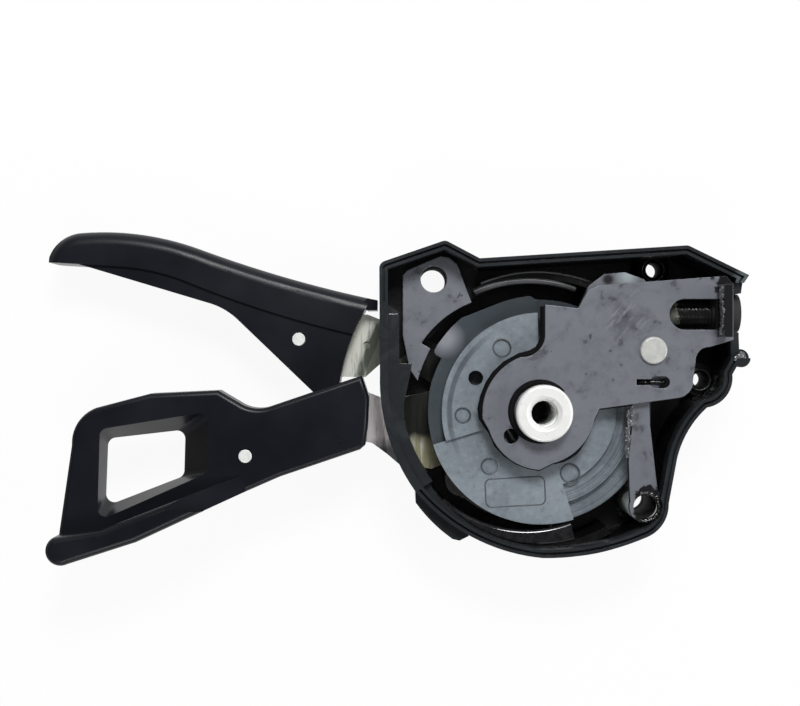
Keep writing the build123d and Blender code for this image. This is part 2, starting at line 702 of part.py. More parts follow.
# Release lever: moulded grip with a bevelled window and a finger pad along its lower edge
with BuildPart() as release_lever_grip:
    with BuildSketch(Plane.XY.offset(release_low)):
        with BuildLine():
            Line((-75.0, -19.0), (-73.0, -5.1))
            ThreePointArc((-73.0, -5.1), (-72.0, -1.5), (-69.2, 0.7))
            Line((-69.2, 0.7), (-60.8, 2.9))
            Line((-60.8, 2.9), (-50.2, 3.4))
            Line((-50.2, 3.4), (-46.5, 1.2))
            ThreePointArc((-46.5, 1.2), (-44.2, 0.6), (-41.9, 1.0))
            Polyline((-41.9, 1.0), (-27.9, 5.7), (-26.8, 2.4), (-27.0, -2.0), (-27.4, -5.1), (-28.2, -5.8),
                     (-40.6, -10.0), (-53.0, -15.4), (-62.3, -19.7), (-72.9, -23.1))
            ThreePointArc((-72.9, -23.1), (-75.9, -22.1), (-75.0, -19.0))
        make_face()
    extrude(amount=release_web_high - release_low)
    fillet(release_lever_grip.faces().sort_by(Axis.Z)[-1].edges(), release_round)
    with BuildSketch(Plane.XY.offset(release_low)):
        with BuildLine():
            Polyline((-72.9, -23.1), (-62.3, -19.7), (-53.0, -15.4), (-46.0, -12.3), (-46.0, -9.6),
                     (-52.8, -12.0), (-62.0, -15.6), (-67.6, -17.8), (-75.0, -19.0))
            ThreePointArc((-75.0, -19.0), (-75.9, -22.1), (-72.9, -23.1))
        make_face()
    extrude(amount=release_paddle_high - release_low)
    fillet(release_lever_grip.faces().sort_by(Axis.Z)[-1].edges(), paddle_round)
    with BuildSketch(Plane.XZ):
        over = 2 * release_paddle_high
        polygon((pad_start, release_web_high), (pad_full, release_paddle_high), (pad_full, over),
                (pad_start + paddle_round, over), (pad_start + paddle_round, release_web_high))
    extrude(amount=2 * hub_r, both=True, mode=Mode.SUBTRACT)
    with BuildSketch(Plane.XY.offset(release_low)) as window_back:
        polygon((-68.1, -4.3), (-55.9, -2.9), (-56.1, -10.2), (-68.5, -15.0))
        fillet(window_back.vertices(), window_round)
    with BuildSketch(Plane.XY.offset(release_web_high)) as window_front:
        polygon((-68.5, -2.6), (-51.6, 0.1), (-51.9, -9.4), (-68.9, -16.9))
        fillet(window_front.vertices(), window_round)
    loft(mode=Mode.SUBTRACT)
    with Locations((*release_pin_at, release_web_high)):
        Hole(lever_pin_r + press_fit)
    add(release_lever_plate.part, mode=Mode.SUBTRACT)
release_lever_grip.part.label = "release_lever_grip"
export_step(release_lever_grip.part, "parts/release_lever_grip.step")

with BuildPart() as release_lever_pin:
    with BuildSketch(Plane.XY.offset(release_low)):
        with Locations(release_pin_at):
            Circle(lever_pin_r)
    extrude(amount=release_web_high - release_low + stack_gap)
release_lever_pin.part.label = "release_lever_pin"
export_step(release_lever_pin.part, "parts/release_lever_pin.step")

# Ratchet ring under the drum
with BuildPart() as ratchet_ring:
    with BuildSketch(Plane.XY.offset(ratchet_z)):
        pitch = 360 / tooth_count
        teeth = []
        for tooth in range(tooth_count):
            face = tooth_phase + tooth * pitch
            teeth += [polar(root_r, face), polar(tip_r, face)]
        polygon(*teeth)
        Circle(ratchet_bore_r + press_fit, mode=Mode.SUBTRACT)
    extrude(amount=ratchet_t)
ratchet_ring.part.label = "ratchet_ring"
export_step(ratchet_ring.part, "parts/ratchet_ring.step")

# Cable drum: boss in the ratchet ring, flange, core with a high and a low face, and the lobe
with BuildPart() as cable_drum:
    with BuildSketch(Plane.XY.offset(ratchet_z)):
        Circle(ratchet_bore_r)
    extrude(amount=ratchet_t)
    with BuildSketch(Plane.XY.offset(drum_z)):
        Circle(drum_edge_r)
    extrude(amount=drum_flange_t)
    with BuildSketch(Plane.XY.offset(drum_z)):
        Circle(drum_inner_step_r)
        sector(drum_inner_step_r / 2, drum_edge_r, drum_split, drum_low_end)
    extrude(amount=drum_h - drum_step)
    with BuildSketch(Plane.XY.offset(drum_z)):
        sector(drum_inner_step_r / 2, drum_core_r, drum_low_end, 360 + lobe_start)
    extrude(amount=drum_h - drum_band_step)
    with BuildSketch(Plane.XY.offset(drum_z)):
        sector(drum_inner_step_r / 2, drum_rib_r, lobe_start, drum_split)
    extrude(amount=drum_h)
    with BuildSketch(Plane.XY.offset(drum_z)) as lobe_plan:
        with BuildLine():
            Line(polar(drum_core_r, lobe_start), polar(lobe_front_r, lobe_start))
            arc(lobe_front_r, lobe_start, lobe_front_end)
            Line(polar(lobe_front_r, lobe_front_end), polar(lobe_r, lobe_peak))
            arc(lobe_r, lobe_peak, lobe_end)
            Line(polar(lobe_r, lobe_end), polar(drum_edge_r, lobe_end))
            arc(drum_edge_r, lobe_end, drum_split)
            Line(polar(drum_edge_r, drum_split), polar(drum_core_r, drum_split))
            arc(drum_core_r, drum_split, lobe_start)
        make_face()
        fillet(lobe_plan.vertices().sort_by_distance(polar(lobe_front_r, lobe_start))[0], lobe_front_round)
        fillet(lobe_plan.vertices().sort_by_distance(polar(lobe_r, lobe_end))[0], lobe_end_round)
    extrude(amount=drum_h - drum_band_step)
    with Locations((0, 0, drum_top)):
        Hole(axle_r + running_fit)
    with Locations((*peg_hole, drum_top)):
        Hole(peg_hole_r, depth=peg_hole_depth)
    with BuildSketch(Plane.XY.offset(well_z)):
        Circle(well_r)
    extrude(amount=2 * well_depth, mode=Mode.SUBTRACT)
    with BuildSketch(Plane.XY.offset(drum_top - dot_depth)):
        for x, y, radius in high_dots:
            with Locations((x, y)):
                Circle(radius)
    extrude(amount=dot_depth, mode=Mode.SUBTRACT)
    with BuildSketch(Plane.XY.offset(drum_top - drum_step - dot_depth)):
        for x, y, radius in low_dots:
            with Locations((x, y)):
                Circle(radius)
    extrude(amount=dot_depth, mode=Mode.SUBTRACT)
cable_drum.part.label = "cable_drum"
export_step(cable_drum.part, "parts/cable_drum.step")

# Spiral spring in the drum's well, from the axle out to the well's wall
with BuildPart() as drum_spring:
    with BuildSketch(Plane.XY.offset(well_z + stack_gap)):
        clock_in = axle_r + touch_gap + clock_t / 2
        clock_out = well_r - touch_gap - clock_t / 2
        inside = []
        outside = []
        for step in range(clock_steps + 1):
            share = step / clock_steps
            radius = clock_in + (clock_out - clock_in) * share
            angle = 360 * clock_turns * share
            inside.append(polar(radius - clock_t / 2, angle))
            outside.append(polar(radius + clock_t / 2, angle))
        polygon(*inside, *reversed(outside))
    extrude(amount=well_depth - 3 * stack_gap)
drum_spring.part.label = "drum_spring"
export_step(drum_spring.part, "parts/drum_spring.step")

# Holding pawl on its axle, with the pin that the release lever's cam lifts
with BuildPart() as holding_pawl:
    with BuildSketch(Plane.XY.offset(pawl_z)):
        pawl_outline(hold_tooth, hold_pivot_r, hold_pivot_angle, -hold_lift)
        with Locations(hold_pivot):
            Circle(hold_axle_r + running_fit, mode=Mode.SUBTRACT)
    extrude(amount=pawl_t)
    with BuildSketch(Plane.XY.offset(release_z + stack_gap)):
        with Locations(follower_rest):
            Circle(follower_r)
    extrude(amount=pawl_z - release_z - stack_gap)
holding_pawl.part.label = "holding_pawl"
export_step(holding_pawl.part, "parts/holding_pawl.step")

with BuildPart() as pawl_axle:
    with BuildSketch(Plane.XY.offset(floor_t)):
        with Locations(hold_pivot):
            Circle(hold_axle_r)
    extrude(amount=plate_top - floor_t)
    with BuildSketch(Plane.XY.offset(plate_top)):
        with Locations(hold_pivot):
            Circle(hold_head_r)
    extrude(amount=hold_head_t)
    chamfer(pawl_axle.edges().group_by(Axis.Z)[-1], hold_head_t / 3)
pawl_axle.part.label = "pawl_axle"
export_step(pawl_axle.part, "parts/pawl_axle.step")

with BuildPart() as holding_pawl_spring:
    add(coil(hold_pivot, release_z + stack_gap, pawl_z - stack_gap, hold_axle_r))
    hold_coil_r = hold_axle_r + coil_room + wire_r
    reach = 1 + (follower_r + wire_r + touch_gap) / follower_rest_r
    pushed = (follower_rest[0] * reach, follower_rest[1] * reach)
    hold_wire_z = pawl_z - 2 * wire_r - stack_gap
    add(straight_wire(pushed, (hold_pivot[0], hold_pivot[1] + hold_coil_r), hold_wire_z))
    add(straight_wire((hold_pivot[0], hold_pivot[1] - hold_coil_r), hold_leg_end, release_z + 2 * wire_r))
holding_pawl_spring.part.label = "holding_pawl_spring"
export_step(holding_pawl_spring.part, "parts/holding_pawl_spring.step")

# Drive pawl on the pull lever
with BuildPart() as drive_pawl:
    with BuildSketch(Plane.XY.offset(pawl_z)):
        pawl_outline(drive_tooth, drive_pivot_r, drive_pivot_angle, -drive_dip)
        with Locations(drive_pivot):
            Circle(drive_pin_r + running_fit, mode=Mode.SUBTRACT)
    extrude(amount=pawl_t)
drive_pawl.part.label = "drive_pawl"
export_step(drive_pawl.part, "parts/drive_pawl.step")

with BuildPart() as drive_pawl_pin:
    with BuildSketch(Plane.XY.offset(pull_z)):
        with Locations(drive_pivot):
            Circle(drive_pin_r)
    extrude(amount=pawl_z + pawl_t - pull_z)
drive_pawl_pin.part.label = "drive_pawl_pin"
export_step(drive_pawl_pin.part, "parts/drive_pawl_pin.step")

drive_pawl_spring = coil(drive_pivot, pull_z + arm_t + touch_gap, pawl_z - touch_gap, drive_pin_r)
drive_pawl_spring.label = "drive_pawl_spring"
export_step(drive_pawl_spring, "parts/drive_pawl_spring.step")

# Bow of wire on the floor that pushes the pull lever back
with BuildPart() as pull_lever_spring:
    bow_z = floor_t + bow_wire_r + touch_gap
    start = (*polar(bow_r, bow_start), bow_z)
    outward = (*polar(1, bow_start), 0)
    onward = (*polar(1, bow_start + 90), 0)
    with BuildSketch(Plane(origin=start, x_dir=outward, z_dir=onward)):
        RegularPolygon(bow_wire_r, 6)
    revolve(axis=Axis.Z, revolution_arc=bow_end - bow_start)
    with BuildSketch(Plane(origin=start, x_dir=outward, z_dir=(0, 0, 1))):
        RegularPolygon(bow_wire_r, 6)
    extrude(amount=pull_z + arm_t - bow_z)
pull_lever_spring.part.label = "pull_lever_spring"
export_step(pull_lever_spring.part, "parts/pull_lever_spring.step")

# Coil on a post that pushes the release lever back by its ear
with BuildPart() as release_lever_spring:
    coil_low = bow_z + bow_wire_r + 2 * stack_gap
    release_coil_r = release_post_r + coil_room + wire_r
    add(coil(release_post_at, coil_low, release_post_height - stack_gap, release_post_r))
    ear_side = release_ear_start - ear_leg_turn
    add(straight_wire(polar(release_ear_r - ear_leg_in, ear_side),
                      (release_post_at[0] + release_coil_r, release_post_at[1]),
                      release_post_height - 2 * wire_r))
    add(straight_wire((release_post_at[0] - release_coil_r, release_post_at[1]),
                      (release_post_at[0] - release_coil_r, wire_r - chamber_r), coil_low + wire_r))
release_lever_spring.part.label = "release_lever_spring"
export_step(release_lever_spring.part, "parts/release_lever_spring.step")

# Strut plate from the pawl axle down to the lower screw, and the spacer under its foot
with BuildPart() as strut_plate:
    with BuildSketch(Plane.XY.offset(strut_z)):
        with BuildLine():
            Polyline((5.6, 16.2), (7.2, 19.6), (9.6, 21.4), (12.8, 21.7), (15.8, 20.6), (19.4, 16.0),
                     (19.4, 6.0), (16.6, 1.6), (16.7, -2.0), (17.3, -7.0), (18.0, -13.2), (13.6, -13.6),
                     (13.4, -7.5), (13.9, -2.7), (14.0, 2.0), (12.6, 7.0), (5.6, 16.2))
        make_face()
        with Locations(toe_screw):
            Circle(spacer_r)
        with Locations(toe_screw):
            Circle(toe_screw_r, mode=Mode.SUBTRACT)
        with Locations(hold_pivot):
            Circle(hold_axle_r + press_fit, mode=Mode.SUBTRACT)
    extrude(amount=strut_t)
strut_plate.part.label = "strut_plate"
export_step(strut_plate.part, "parts/strut_plate.step")

with BuildPart() as screw_spacer:
    with BuildSketch(Plane.XY.offset(floor_t)):
        with Locations(toe_screw):
            Circle(spacer_r)
            Circle(toe_screw_r, mode=Mode.SUBTRACT)
    extrude(amount=strut_z - floor_t)
screw_spacer.part.label = "screw_spacer"
export_step(screw_spacer.part, "parts/screw_spacer.step")

# Top plate: from the axle to the cable's side, with a window over the guide and a turned-up tab
with BuildPart() as top_plate:
    with BuildSketch(Plane.XY.offset(plate_z)):
        with BuildLine():
            ThreePointArc((-3.4, 8.6), polar(9.3, 150), (-9.3, -0.9))
            Line((-9.3, -0.9), (-8.3, -2.7))
            ThreePointArc((-8.3, -2.7), polar(8.8, 228), (-0.5, -8.8))
            Line((-0.5, -8.8), (1.5, -7.8))
            ThreePointArc((1.5, -7.8), polar(7.8, 315), (7.9, -1.1))
            Polyline((7.9, -1.1), (8.7, 0.6), (21.0, 2.3))
            ThreePointArc((21.0, 2.3), (22.5, 3.2), (23.1, 5.0))
            Line((23.1, 5.0), (23.5, 8.0))
            ThreePointArc((23.5, 8.0), (24.1, 9.5), (25.6, 10.1))
            Polyline((25.6, 10.1), (29.3, 11.2), (29.3, 19.9), (28.2, 21.1), (8.4, 19.6), (6.9, 18.9),
                     (5.4, 16.1), (0.3, 16.7), (0.3, 11.6))
            ThreePointArc((0.3, 11.6), (-0.6, 9.7), (-3.4, 8.6))
        make_face()
        with BuildLine():
            ThreePointArc((window_start + window_w / 2, window_y + window_w / 2), (window_start, window_y),
                          (window_start + window_w / 2, window_y - window_w / 2))
            Polyline((window_start + window_w / 2, window_y - window_w / 2),
                     (tab_front, window_y - window_w / 2), (tab_front, window_y + window_w / 2),
                     (window_start + window_w / 2, window_y + window_w / 2))
        make_face(mode=Mode.SUBTRACT)
        with Locations(((keyhole_start + keyhole_at[0]) / 2, keyhole_at[1])):
            Rectangle(keyhole_at[0] - keyhole_start, keyhole_w, mode=Mode.SUBTRACT)
        with Locations(keyhole_at):
            SlotOverall(*keyhole_eye, mode=Mode.SUBTRACT)
        with Locations(sight_hole):
            Circle(sight_hole_r, mode=Mode.SUBTRACT)
        with Locations(hold_pivot):
            Circle(hold_axle_r + press_fit, mode=Mode.SUBTRACT)
        Circle(axle_neck_r + press_fit, mode=Mode.SUBTRACT)
    extrude(amount=plate_t)
    with BuildSketch(Plane.XY.offset(plate_z)):
        polygon((tab_front, tab_low), (tab_front + tab_t, tab_low), (tab_front + tab_t, tab_high),
                (tab_front, tab_high))
    extrude(amount=tab_height - plate_z)
top_plate.part.label = "top_plate"
export_step(top_plate.part, "parts/top_plate.step")

# Cable guide in the tray's right wall, with the adjuster's socket
with BuildPart() as cable_guide:
    with BuildSketch(Plane.YZ.offset(guide_start)):
        with Locations((cable_y, cable_z)):
            Circle(guide_r)
    extrude(amount=guide_end - guide_start)
    with BuildSketch(Plane.YZ.offset(guide_head_start)):
        with Locations((cable_y, cable_z)):
            Circle(guide_head_r)
    extrude(amount=guide_end - guide_head_start)
    with BuildSketch(Plane.YZ.offset(guide_start)):
        with Locations((cable_y, cable_z)):
            Circle(guide_bore_r)
    extrude(amount=guide_end - guide_start, mode=Mode.SUBTRACT)
    with BuildSketch(Plane.YZ.offset(guide_end - adjuster_depth)):
        with Locations((cable_y, cable_z)):
            Circle(adjuster_r)
    extrude(amount=adjuster_depth, mode=Mode.SUBTRACT)
cable_guide.part.label = "cable_guide"
export_step(cable_guide.part, "parts/cable_guide.step")
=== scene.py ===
import json
import math
import bmesh
import bpy
from mathutils import Matrix, Vector


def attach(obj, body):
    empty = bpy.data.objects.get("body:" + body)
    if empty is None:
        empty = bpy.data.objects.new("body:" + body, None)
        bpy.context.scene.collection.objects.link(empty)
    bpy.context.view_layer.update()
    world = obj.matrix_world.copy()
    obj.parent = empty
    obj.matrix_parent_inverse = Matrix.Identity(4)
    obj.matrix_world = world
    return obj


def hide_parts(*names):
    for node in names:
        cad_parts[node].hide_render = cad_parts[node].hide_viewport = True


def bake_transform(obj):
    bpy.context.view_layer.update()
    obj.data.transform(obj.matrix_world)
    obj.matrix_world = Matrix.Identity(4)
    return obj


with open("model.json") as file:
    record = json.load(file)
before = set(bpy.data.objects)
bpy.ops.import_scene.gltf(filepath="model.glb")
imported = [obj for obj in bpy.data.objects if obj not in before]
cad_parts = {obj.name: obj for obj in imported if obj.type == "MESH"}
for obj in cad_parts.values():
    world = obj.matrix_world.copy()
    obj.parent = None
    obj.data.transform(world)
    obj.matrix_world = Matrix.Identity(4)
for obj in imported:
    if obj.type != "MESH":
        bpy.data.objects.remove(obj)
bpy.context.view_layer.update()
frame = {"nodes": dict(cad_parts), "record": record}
nodes = frame["nodes"]
scene = bpy.context.scene
mm = 0.001
print("frame loaded:", len(nodes), "nodes")


# Small helpers for shader trees

def newMaterial(name, baseColour, metallic=0.0, specular=0.5, coat=0.0, coatRoughness=0.1):
    material = bpy.data.materials.new(name)
    material.use_nodes = True
    shader = material.node_tree.nodes["Principled BSDF"]
    shader.inputs["Base Color"].default_value = (*baseColour, 1)
    shader.inputs["Metallic"].default_value = metallic
    shader.inputs["Specular IOR Level"].default_value = specular
    shader.inputs["Coat Weight"].default_value = coat
    shader.inputs["Coat Roughness"].default_value = coatRoughness
    return material, material.node_tree, shader


def objectCoordinates(tree, scale=(1, 1, 1), turn=(0, 0, 0)):
    coordinates = tree.nodes.new("ShaderNodeTexCoord")
    mapping = tree.nodes.new("ShaderNodeMapping")
    mapping.inputs["Scale"].default_value = scale
    mapping.inputs["Rotation"].default_value = turn
    tree.links.new(coordinates.outputs["Object"], mapping.inputs["Vector"])
    return mapping.outputs["Vector"]


def stretched(tree, vector, scale):
    drawn = tree.nodes.new("ShaderNodeVectorMath")
    drawn.operation = "MULTIPLY"
    tree.links.new(vector, drawn.inputs[0])
    drawn.inputs[1].default_value = scale
    return drawn.outputs["Vector"]


def millimetres(tree):
    split = tree.nodes.new("ShaderNodeSeparateXYZ")
    tree.links.new(objectCoordinates(tree, (1000, 1000, 1000)), split.inputs["Vector"])
    return split.outputs["X"], split.outputs["Y"], split.outputs["Z"]


def facing(tree, axis):  # how far a face looks along X, or along Z either way
    coordinates = tree.nodes.new("ShaderNodeTexCoord")
    split = tree.nodes.new("ShaderNodeSeparateXYZ")
    tree.links.new(coordinates.outputs["Normal"], split.inputs["Vector"])
    if axis == "X":
        return split.outputs["X"]
    return combine(tree, "ABSOLUTE", split.outputs["Z"], 0.0)


def noise(tree, vector, scale, detail=4.0, rough=0.55, distortion=0.0):
    texture = tree.nodes.new("ShaderNodeTexNoise")
    texture.inputs["Scale"].default_value = scale
    texture.inputs["Detail"].default_value = detail
    texture.inputs["Roughness"].default_value = rough
    texture.inputs["Distortion"].default_value = distortion
    tree.links.new(vector, texture.inputs["Vector"])
    return texture.outputs["Fac"]


def remap(tree, value, fromLow, fromHigh, toLow, toHigh):
    ranged = tree.nodes.new("ShaderNodeMapRange")
    ranged.inputs["From Min"].default_value = fromLow
    ranged.inputs["From Max"].default_value = fromHigh
    ranged.inputs["To Min"].default_value = toLow
    ranged.inputs["To Max"].default_value = toHigh
    tree.links.new(value, ranged.inputs["Value"])
    return ranged.outputs["Result"]


def ramp(tree, value, stops):
    colours = tree.nodes.new("ShaderNodeValToRGB")
    elements = colours.color_ramp.elements
    while len(elements) < len(stops):
        elements.new(0.5)
    for element, (place, colour) in zip(elements, stops):
        element.position = place
        element.color = (*colour, 1)
    tree.links.new(value, colours.inputs["Fac"])
    return colours.outputs["Color"]


def mixColour(tree, factor, first, second):
    mixed = tree.nodes.new("ShaderNodeMix")
    mixed.data_type = "RGBA"
    tree.links.new(factor, mixed.inputs["Factor"])
    for socket, colour in ((mixed.inputs[6], first), (mixed.inputs[7], second)):
        if isinstance(colour, tuple):
            socket.default_value = (*colour, 1)
        else:
            tree.links.new(colour, socket)
    return mixed.outputs[2]


def combine(tree, operation, first, second):
    maths = tree.nodes.new("ShaderNodeMath")
    maths.operation = operation
    for socket, value in zip(maths.inputs, (first, second)):
        if isinstance(value, (int, float)):
            socket.default_value = value
        else:
            tree.links.new(value, socket)
    return maths.outputs["Value"]


def times(tree, first, second):
    return combine(tree, "MULTIPLY", first, second)


def plus(tree, first, second):
    return combine(tree, "ADD", first, second)


def lengthOf(tree, x, y):
    return combine(tree, "SQRT", plus(tree, times(tree, x, x), times(tree, y, y)), 0.0)


def risesAt(tree, value, at, soft):  # 0 below, 1 above
    return remap(tree, value, at - soft, at + soft, 0, 1)


def fallsAt(tree, value, at, soft):  # 1 below, 0 above
    return remap(tree, value, at - soft, at + soft, 1, 0)


def mixValue(tree, factor, first, second):
    span = combine(tree, "SUBTRACT", second, first)
    return plus(tree, first, times(tree, factor, span))


def bump(tree, height, strength, distance):
    bumped = tree.nodes.new("ShaderNodeBump")
    bumped.inputs["Strength"].default_value = strength
    bumped.inputs["Distance"].default_value = distance
    tree.links.new(height, bumped.inputs["Height"])
    return bumped.outputs["Normal"]


def nearSpot(tree, spot, inner, outer):  # 1 at the spot, fading to 0, sizes in millimetres
    x, y, _ = millimetres(tree)
    dx = combine(tree, "SUBTRACT", x, spot[0])
    dy = combine(tree, "SUBTRACT", y, spot[1])
    return remap(tree, lengthOf(tree, dx, dy), inner, outer, 1, 0)


# Materials

trayFinish = {"colour": (0.0045, 0.0045, 0.0052), "floor": (0.022, 0.022, 0.024),
              "rim": (0.0165, 0.0190, 0.0215), "worn": (0.036, 0.040, 0.044), "nose": (0.085, 0.100, 0.106),
              "paintedShadeTone": (0.003, 0.003, 0.003), "floorTop": 2.25, "rimFoot": 12.0, "topScrew": (18.9, 22.6),
              "roughLow": 0.14, "roughHigh": 0.38, "noseSpot": (30.7, 20.7),
              "holes": [((-16.7, 20.8), 2.05), ((18.9, 22.6), 1.2), ((26.1, 4.9), 1.2),
                        ((16.0, -14.6), 1.85)]}

def trayPlastic():
    material, tree, shader = newMaterial("trayPlastic", trayFinish["colour"], specular=0.45)
    vector = objectCoordinates(tree)
    z = millimetres(tree)[2]
    smears = noise(tree, vector, 160, 5, 0.6, 0.8)
    specks = noise(tree, vector, 2200, 2)
    high = risesAt(tree, z, trayFinish["rimFoot"], 0.4)
    # painted light: the floor below floorTop is paler than the walls, standing in for light that the walls'
    # shade keeps off
    raised = risesAt(tree, z, trayFinish["floorTop"], 0.15)
    colour = mixColour(tree, raised, trayFinish["floor"], trayFinish["colour"])
    colour = mixColour(tree, high, colour, trayFinish["rim"])
    film = times(tree, high, remap(tree, smears, 0.50, 0.70, 0, 0.8))
    colour = mixColour(tree, film, colour, trayFinish["worn"])
    # painted highlight on the top of the tray's pointed end
    nose = times(tree, remap(tree, z, 14.2, 14.8, 0, 1),
                 nearSpot(tree, trayFinish["noseSpot"], 0.7, 1.7))
    colour = mixColour(tree, nose, colour, trayFinish["nose"])
    shaded = times(tree, remap(tree, z, 14.2, 14.6, 1, 0),  # painted shade on the boss below the rim, which is also made rough
                   nearSpot(tree, trayFinish["topScrew"], 3.1, 3.4))
    for spot, radius in trayFinish["holes"]:  # painted shade on the walls of the screw holes, which are also made rough
        shaded = combine(tree, "MAXIMUM", shaded, nearSpot(tree, spot, radius + 0.12, radius + 0.2))
    colour = mixColour(tree, shaded, colour, trayFinish["paintedShadeTone"])
    tree.links.new(colour, shader.inputs["Base Color"])
    gloss = remap(tree, smears, 0.3, 0.7, trayFinish["roughHigh"], trayFinish["roughLow"])
    tree.links.new(mixValue(tree, shaded, gloss, 1.0), shader.inputs["Roughness"])
    relief = plus(tree, smears, times(tree, specks, 0.15))
    tree.links.new(bump(tree, relief, 0.25, 0.05 * mm), shader.inputs["Normal"])
    return material


leverFinish = {"colour": (0.0050, 0.0056, 0.0092), "pale": (0.0078, 0.0085, 0.0130),
               "pit": (0.001, 0.001, 0.001), "paintedShadeTone": (0.0025, 0.0025, 0.003), "grain": 5200,
               "chips": ((-31.0, -4.6), 0.4, 1.6)}

def leverPlastic():
    material, tree, shader = newMaterial("leverPlastic", leverFinish["colour"], specular=0.28)
    vector = objectCoordinates(tree)
    grain = noise(tree, vector, leverFinish["grain"], 2)
    cloud = noise(tree, vector, 90, 3)
    colour = mixColour(tree, remap(tree, cloud, 0.35, 0.7, 0, 1), leverFinish["colour"], leverFinish["pale"])
    pits = remap(tree, noise(tree, vector, 1500, 3), 0.58, 0.62, 0, 1)
    pits = times(tree, nearSpot(tree, *leverFinish["chips"]), pits)
    colour = mixColour(tree, pits, colour, leverFinish["pit"])
    leftward = remap(tree, facing(tree, "X"), -0.75, -0.45, 1, 0)  # painted shade: walls that look towards -X are darkened and made rough
    tree.links.new(mixColour(tree, leftward, colour, leverFinish["paintedShadeTone"]), shader.inputs["Base Color"])
    gloss = remap(tree, cloud, 0.3, 0.7, 0.30, 0.38)
    tree.links.new(mixValue(tree, leftward, gloss, 0.9), shader.inputs["Roughness"])
    relief = combine(tree, "SUBTRACT", grain, times(tree, pits, 3.0))
    tree.links.new(bump(tree, relief, 0.15, 0.03 * mm), shader.inputs["Normal"])
    return material


steelFinish = {"colour": (0.141, 0.152, 0.176), "dark": (0.085, 0.090, 0.105), "pale": (0.186, 0.197, 0.223),
               "edge": (0.016, 0.016, 0.020), "grease": (0.012, 0.012, 0.014), "paintedGlint": (0.33, 0.38, 0.40),
               "tabFoot": 15.6, "toe": (16.7, -14.9), "corner": (28.4, 20.2), "paintedGlintSpot": (13.2, 20.9),
               "darkSpot": (10.2, 20.6), "smearSpot": (12.4, 14.6), "scratch": (0.25, 0.26, 0.29),
               "speck": (0.035, 0.035, 0.045), "scratchTurn": 0.75, "scratchStretch": (1500, 260, 900)}

def darkSteel():
    material, tree, shader = newMaterial("darkSteel", steelFinish["colour"], specular=0.5)
    vector = objectCoordinates(tree)
    z = millimetres(tree)[2]
    cloud = noise(tree, vector, 120)
    stains = noise(tree, vector, 380, 4, 0.6)
    turned = objectCoordinates(tree, turn=(0, 0, steelFinish["scratchTurn"]))
    strokes = noise(tree, stretched(tree, turned, steelFinish["scratchStretch"]), 1.0, 3, 0.6)
    specks = noise(tree, vector, 900, 2, 0.5)
    colour = mixColour(tree, remap(tree, cloud, 0.36, 0.66, 0, 0.9),
                       steelFinish["pale"], steelFinish["colour"])
    colour = mixColour(tree, remap(tree, stains, 0.48, 0.74, 0, 0.65), colour, steelFinish["dark"])
    smear = nearSpot(tree, steelFinish["smearSpot"], 0.8, 5.2)
    colour = mixColour(tree, times(tree, smear, remap(tree, stains, 0.36, 0.60, 0.15, 0.95)),
                       colour, steelFinish["dark"])
    colour = mixColour(tree, times(tree, smear, remap(tree, strokes, 0.54, 0.66, 0, 0.9)),
                       colour, steelFinish["scratch"])
    colour = mixColour(tree, remap(tree, strokes, 0.58, 0.74, 0, 0.55), colour, steelFinish["pale"])
    colour = mixColour(tree, remap(tree, specks, 0.70, 0.75, 0, 0.75), colour, steelFinish["speck"])
    under = remap(tree, z, 14.02, 14.1, 1, 0)  # painted highlight and a dark spot on the lower plate beside the upper one
    colour = mixColour(tree, times(tree, under, nearSpot(tree, steelFinish["paintedGlintSpot"], 0.4, 2.0)),
                       colour, steelFinish["paintedGlint"])
    colour = mixColour(tree, times(tree, under, nearSpot(tree, steelFinish["darkSpot"], 0.5, 1.2)),
                       colour, steelFinish["grease"])
    # painted shade: the side walls of the plates are darkened
    flank = remap(tree, facing(tree, "Z"), 0.20, 0.50, 1, 0)
    colour = mixColour(tree, flank, colour, steelFinish["edge"])
    lumpy = remap(tree, stains, 0.35, 0.65, -0.35, 0.35)  # ragged edge of the grease at the toe and of the darker corner
    # painted shade: the turned-up tab is darkened for the dark that it reflects; grease round the toe; darker
    # at the corner by the tab
    tab = risesAt(tree, z, steelFinish["tabFoot"], 0.15)
    toe = plus(tree, nearSpot(tree, steelFinish["toe"], 1.4, 4.6), lumpy)
    toe = remap(tree, toe, 0.30, 0.45, 0, 1)
    corner = plus(tree, nearSpot(tree, steelFinish["corner"], 0.3, 3.4), lumpy)
    corner = remap(tree, corner, 0.32, 0.50, 0, 1)
    greaseAndShadeMask = combine(tree, "MAXIMUM", tab, combine(tree, "MAXIMUM", toe, corner))
    colour = mixColour(tree, greaseAndShadeMask, colour, steelFinish["grease"])
    tree.links.new(colour, shader.inputs["Base Color"])
    dry = combine(tree, "SUBTRACT", 1.0, combine(tree, "MAXIMUM", greaseAndShadeMask, flank))
    tree.links.new(times(tree, dry, 0.3), shader.inputs["Metallic"])
    dryRough = remap(tree, cloud, 0.3, 0.7, 0.38, 0.52)
    rough = mixValue(tree, greaseAndShadeMask, mixValue(tree, flank, dryRough, 0.8), 0.16)
    tree.links.new(rough, shader.inputs["Roughness"])
    relief = plus(tree, stains, times(tree, specks, 0.25))
    tree.links.new(bump(tree, relief, 0.35, 0.05 * mm), shader.inputs["Normal"])
    return material


drumFinish = {"colour": (0.222, 0.259, 0.288), "cool": (0.172, 0.196, 0.222), "pale": (0.310, 0.360, 0.388),
              "band": (0.044, 0.056, 0.065), "lobe": (0.033, 0.042, 0.050), "paintedSheen": (0.235, 0.245, 0.275),
              "bandTop": 11.5, "shadeSide": (-0.95, 0.25), "paintedSheenSpot": (-14.8, 11.4),
              "grooveFrom": 13.9, "grooveTo": 14.7}

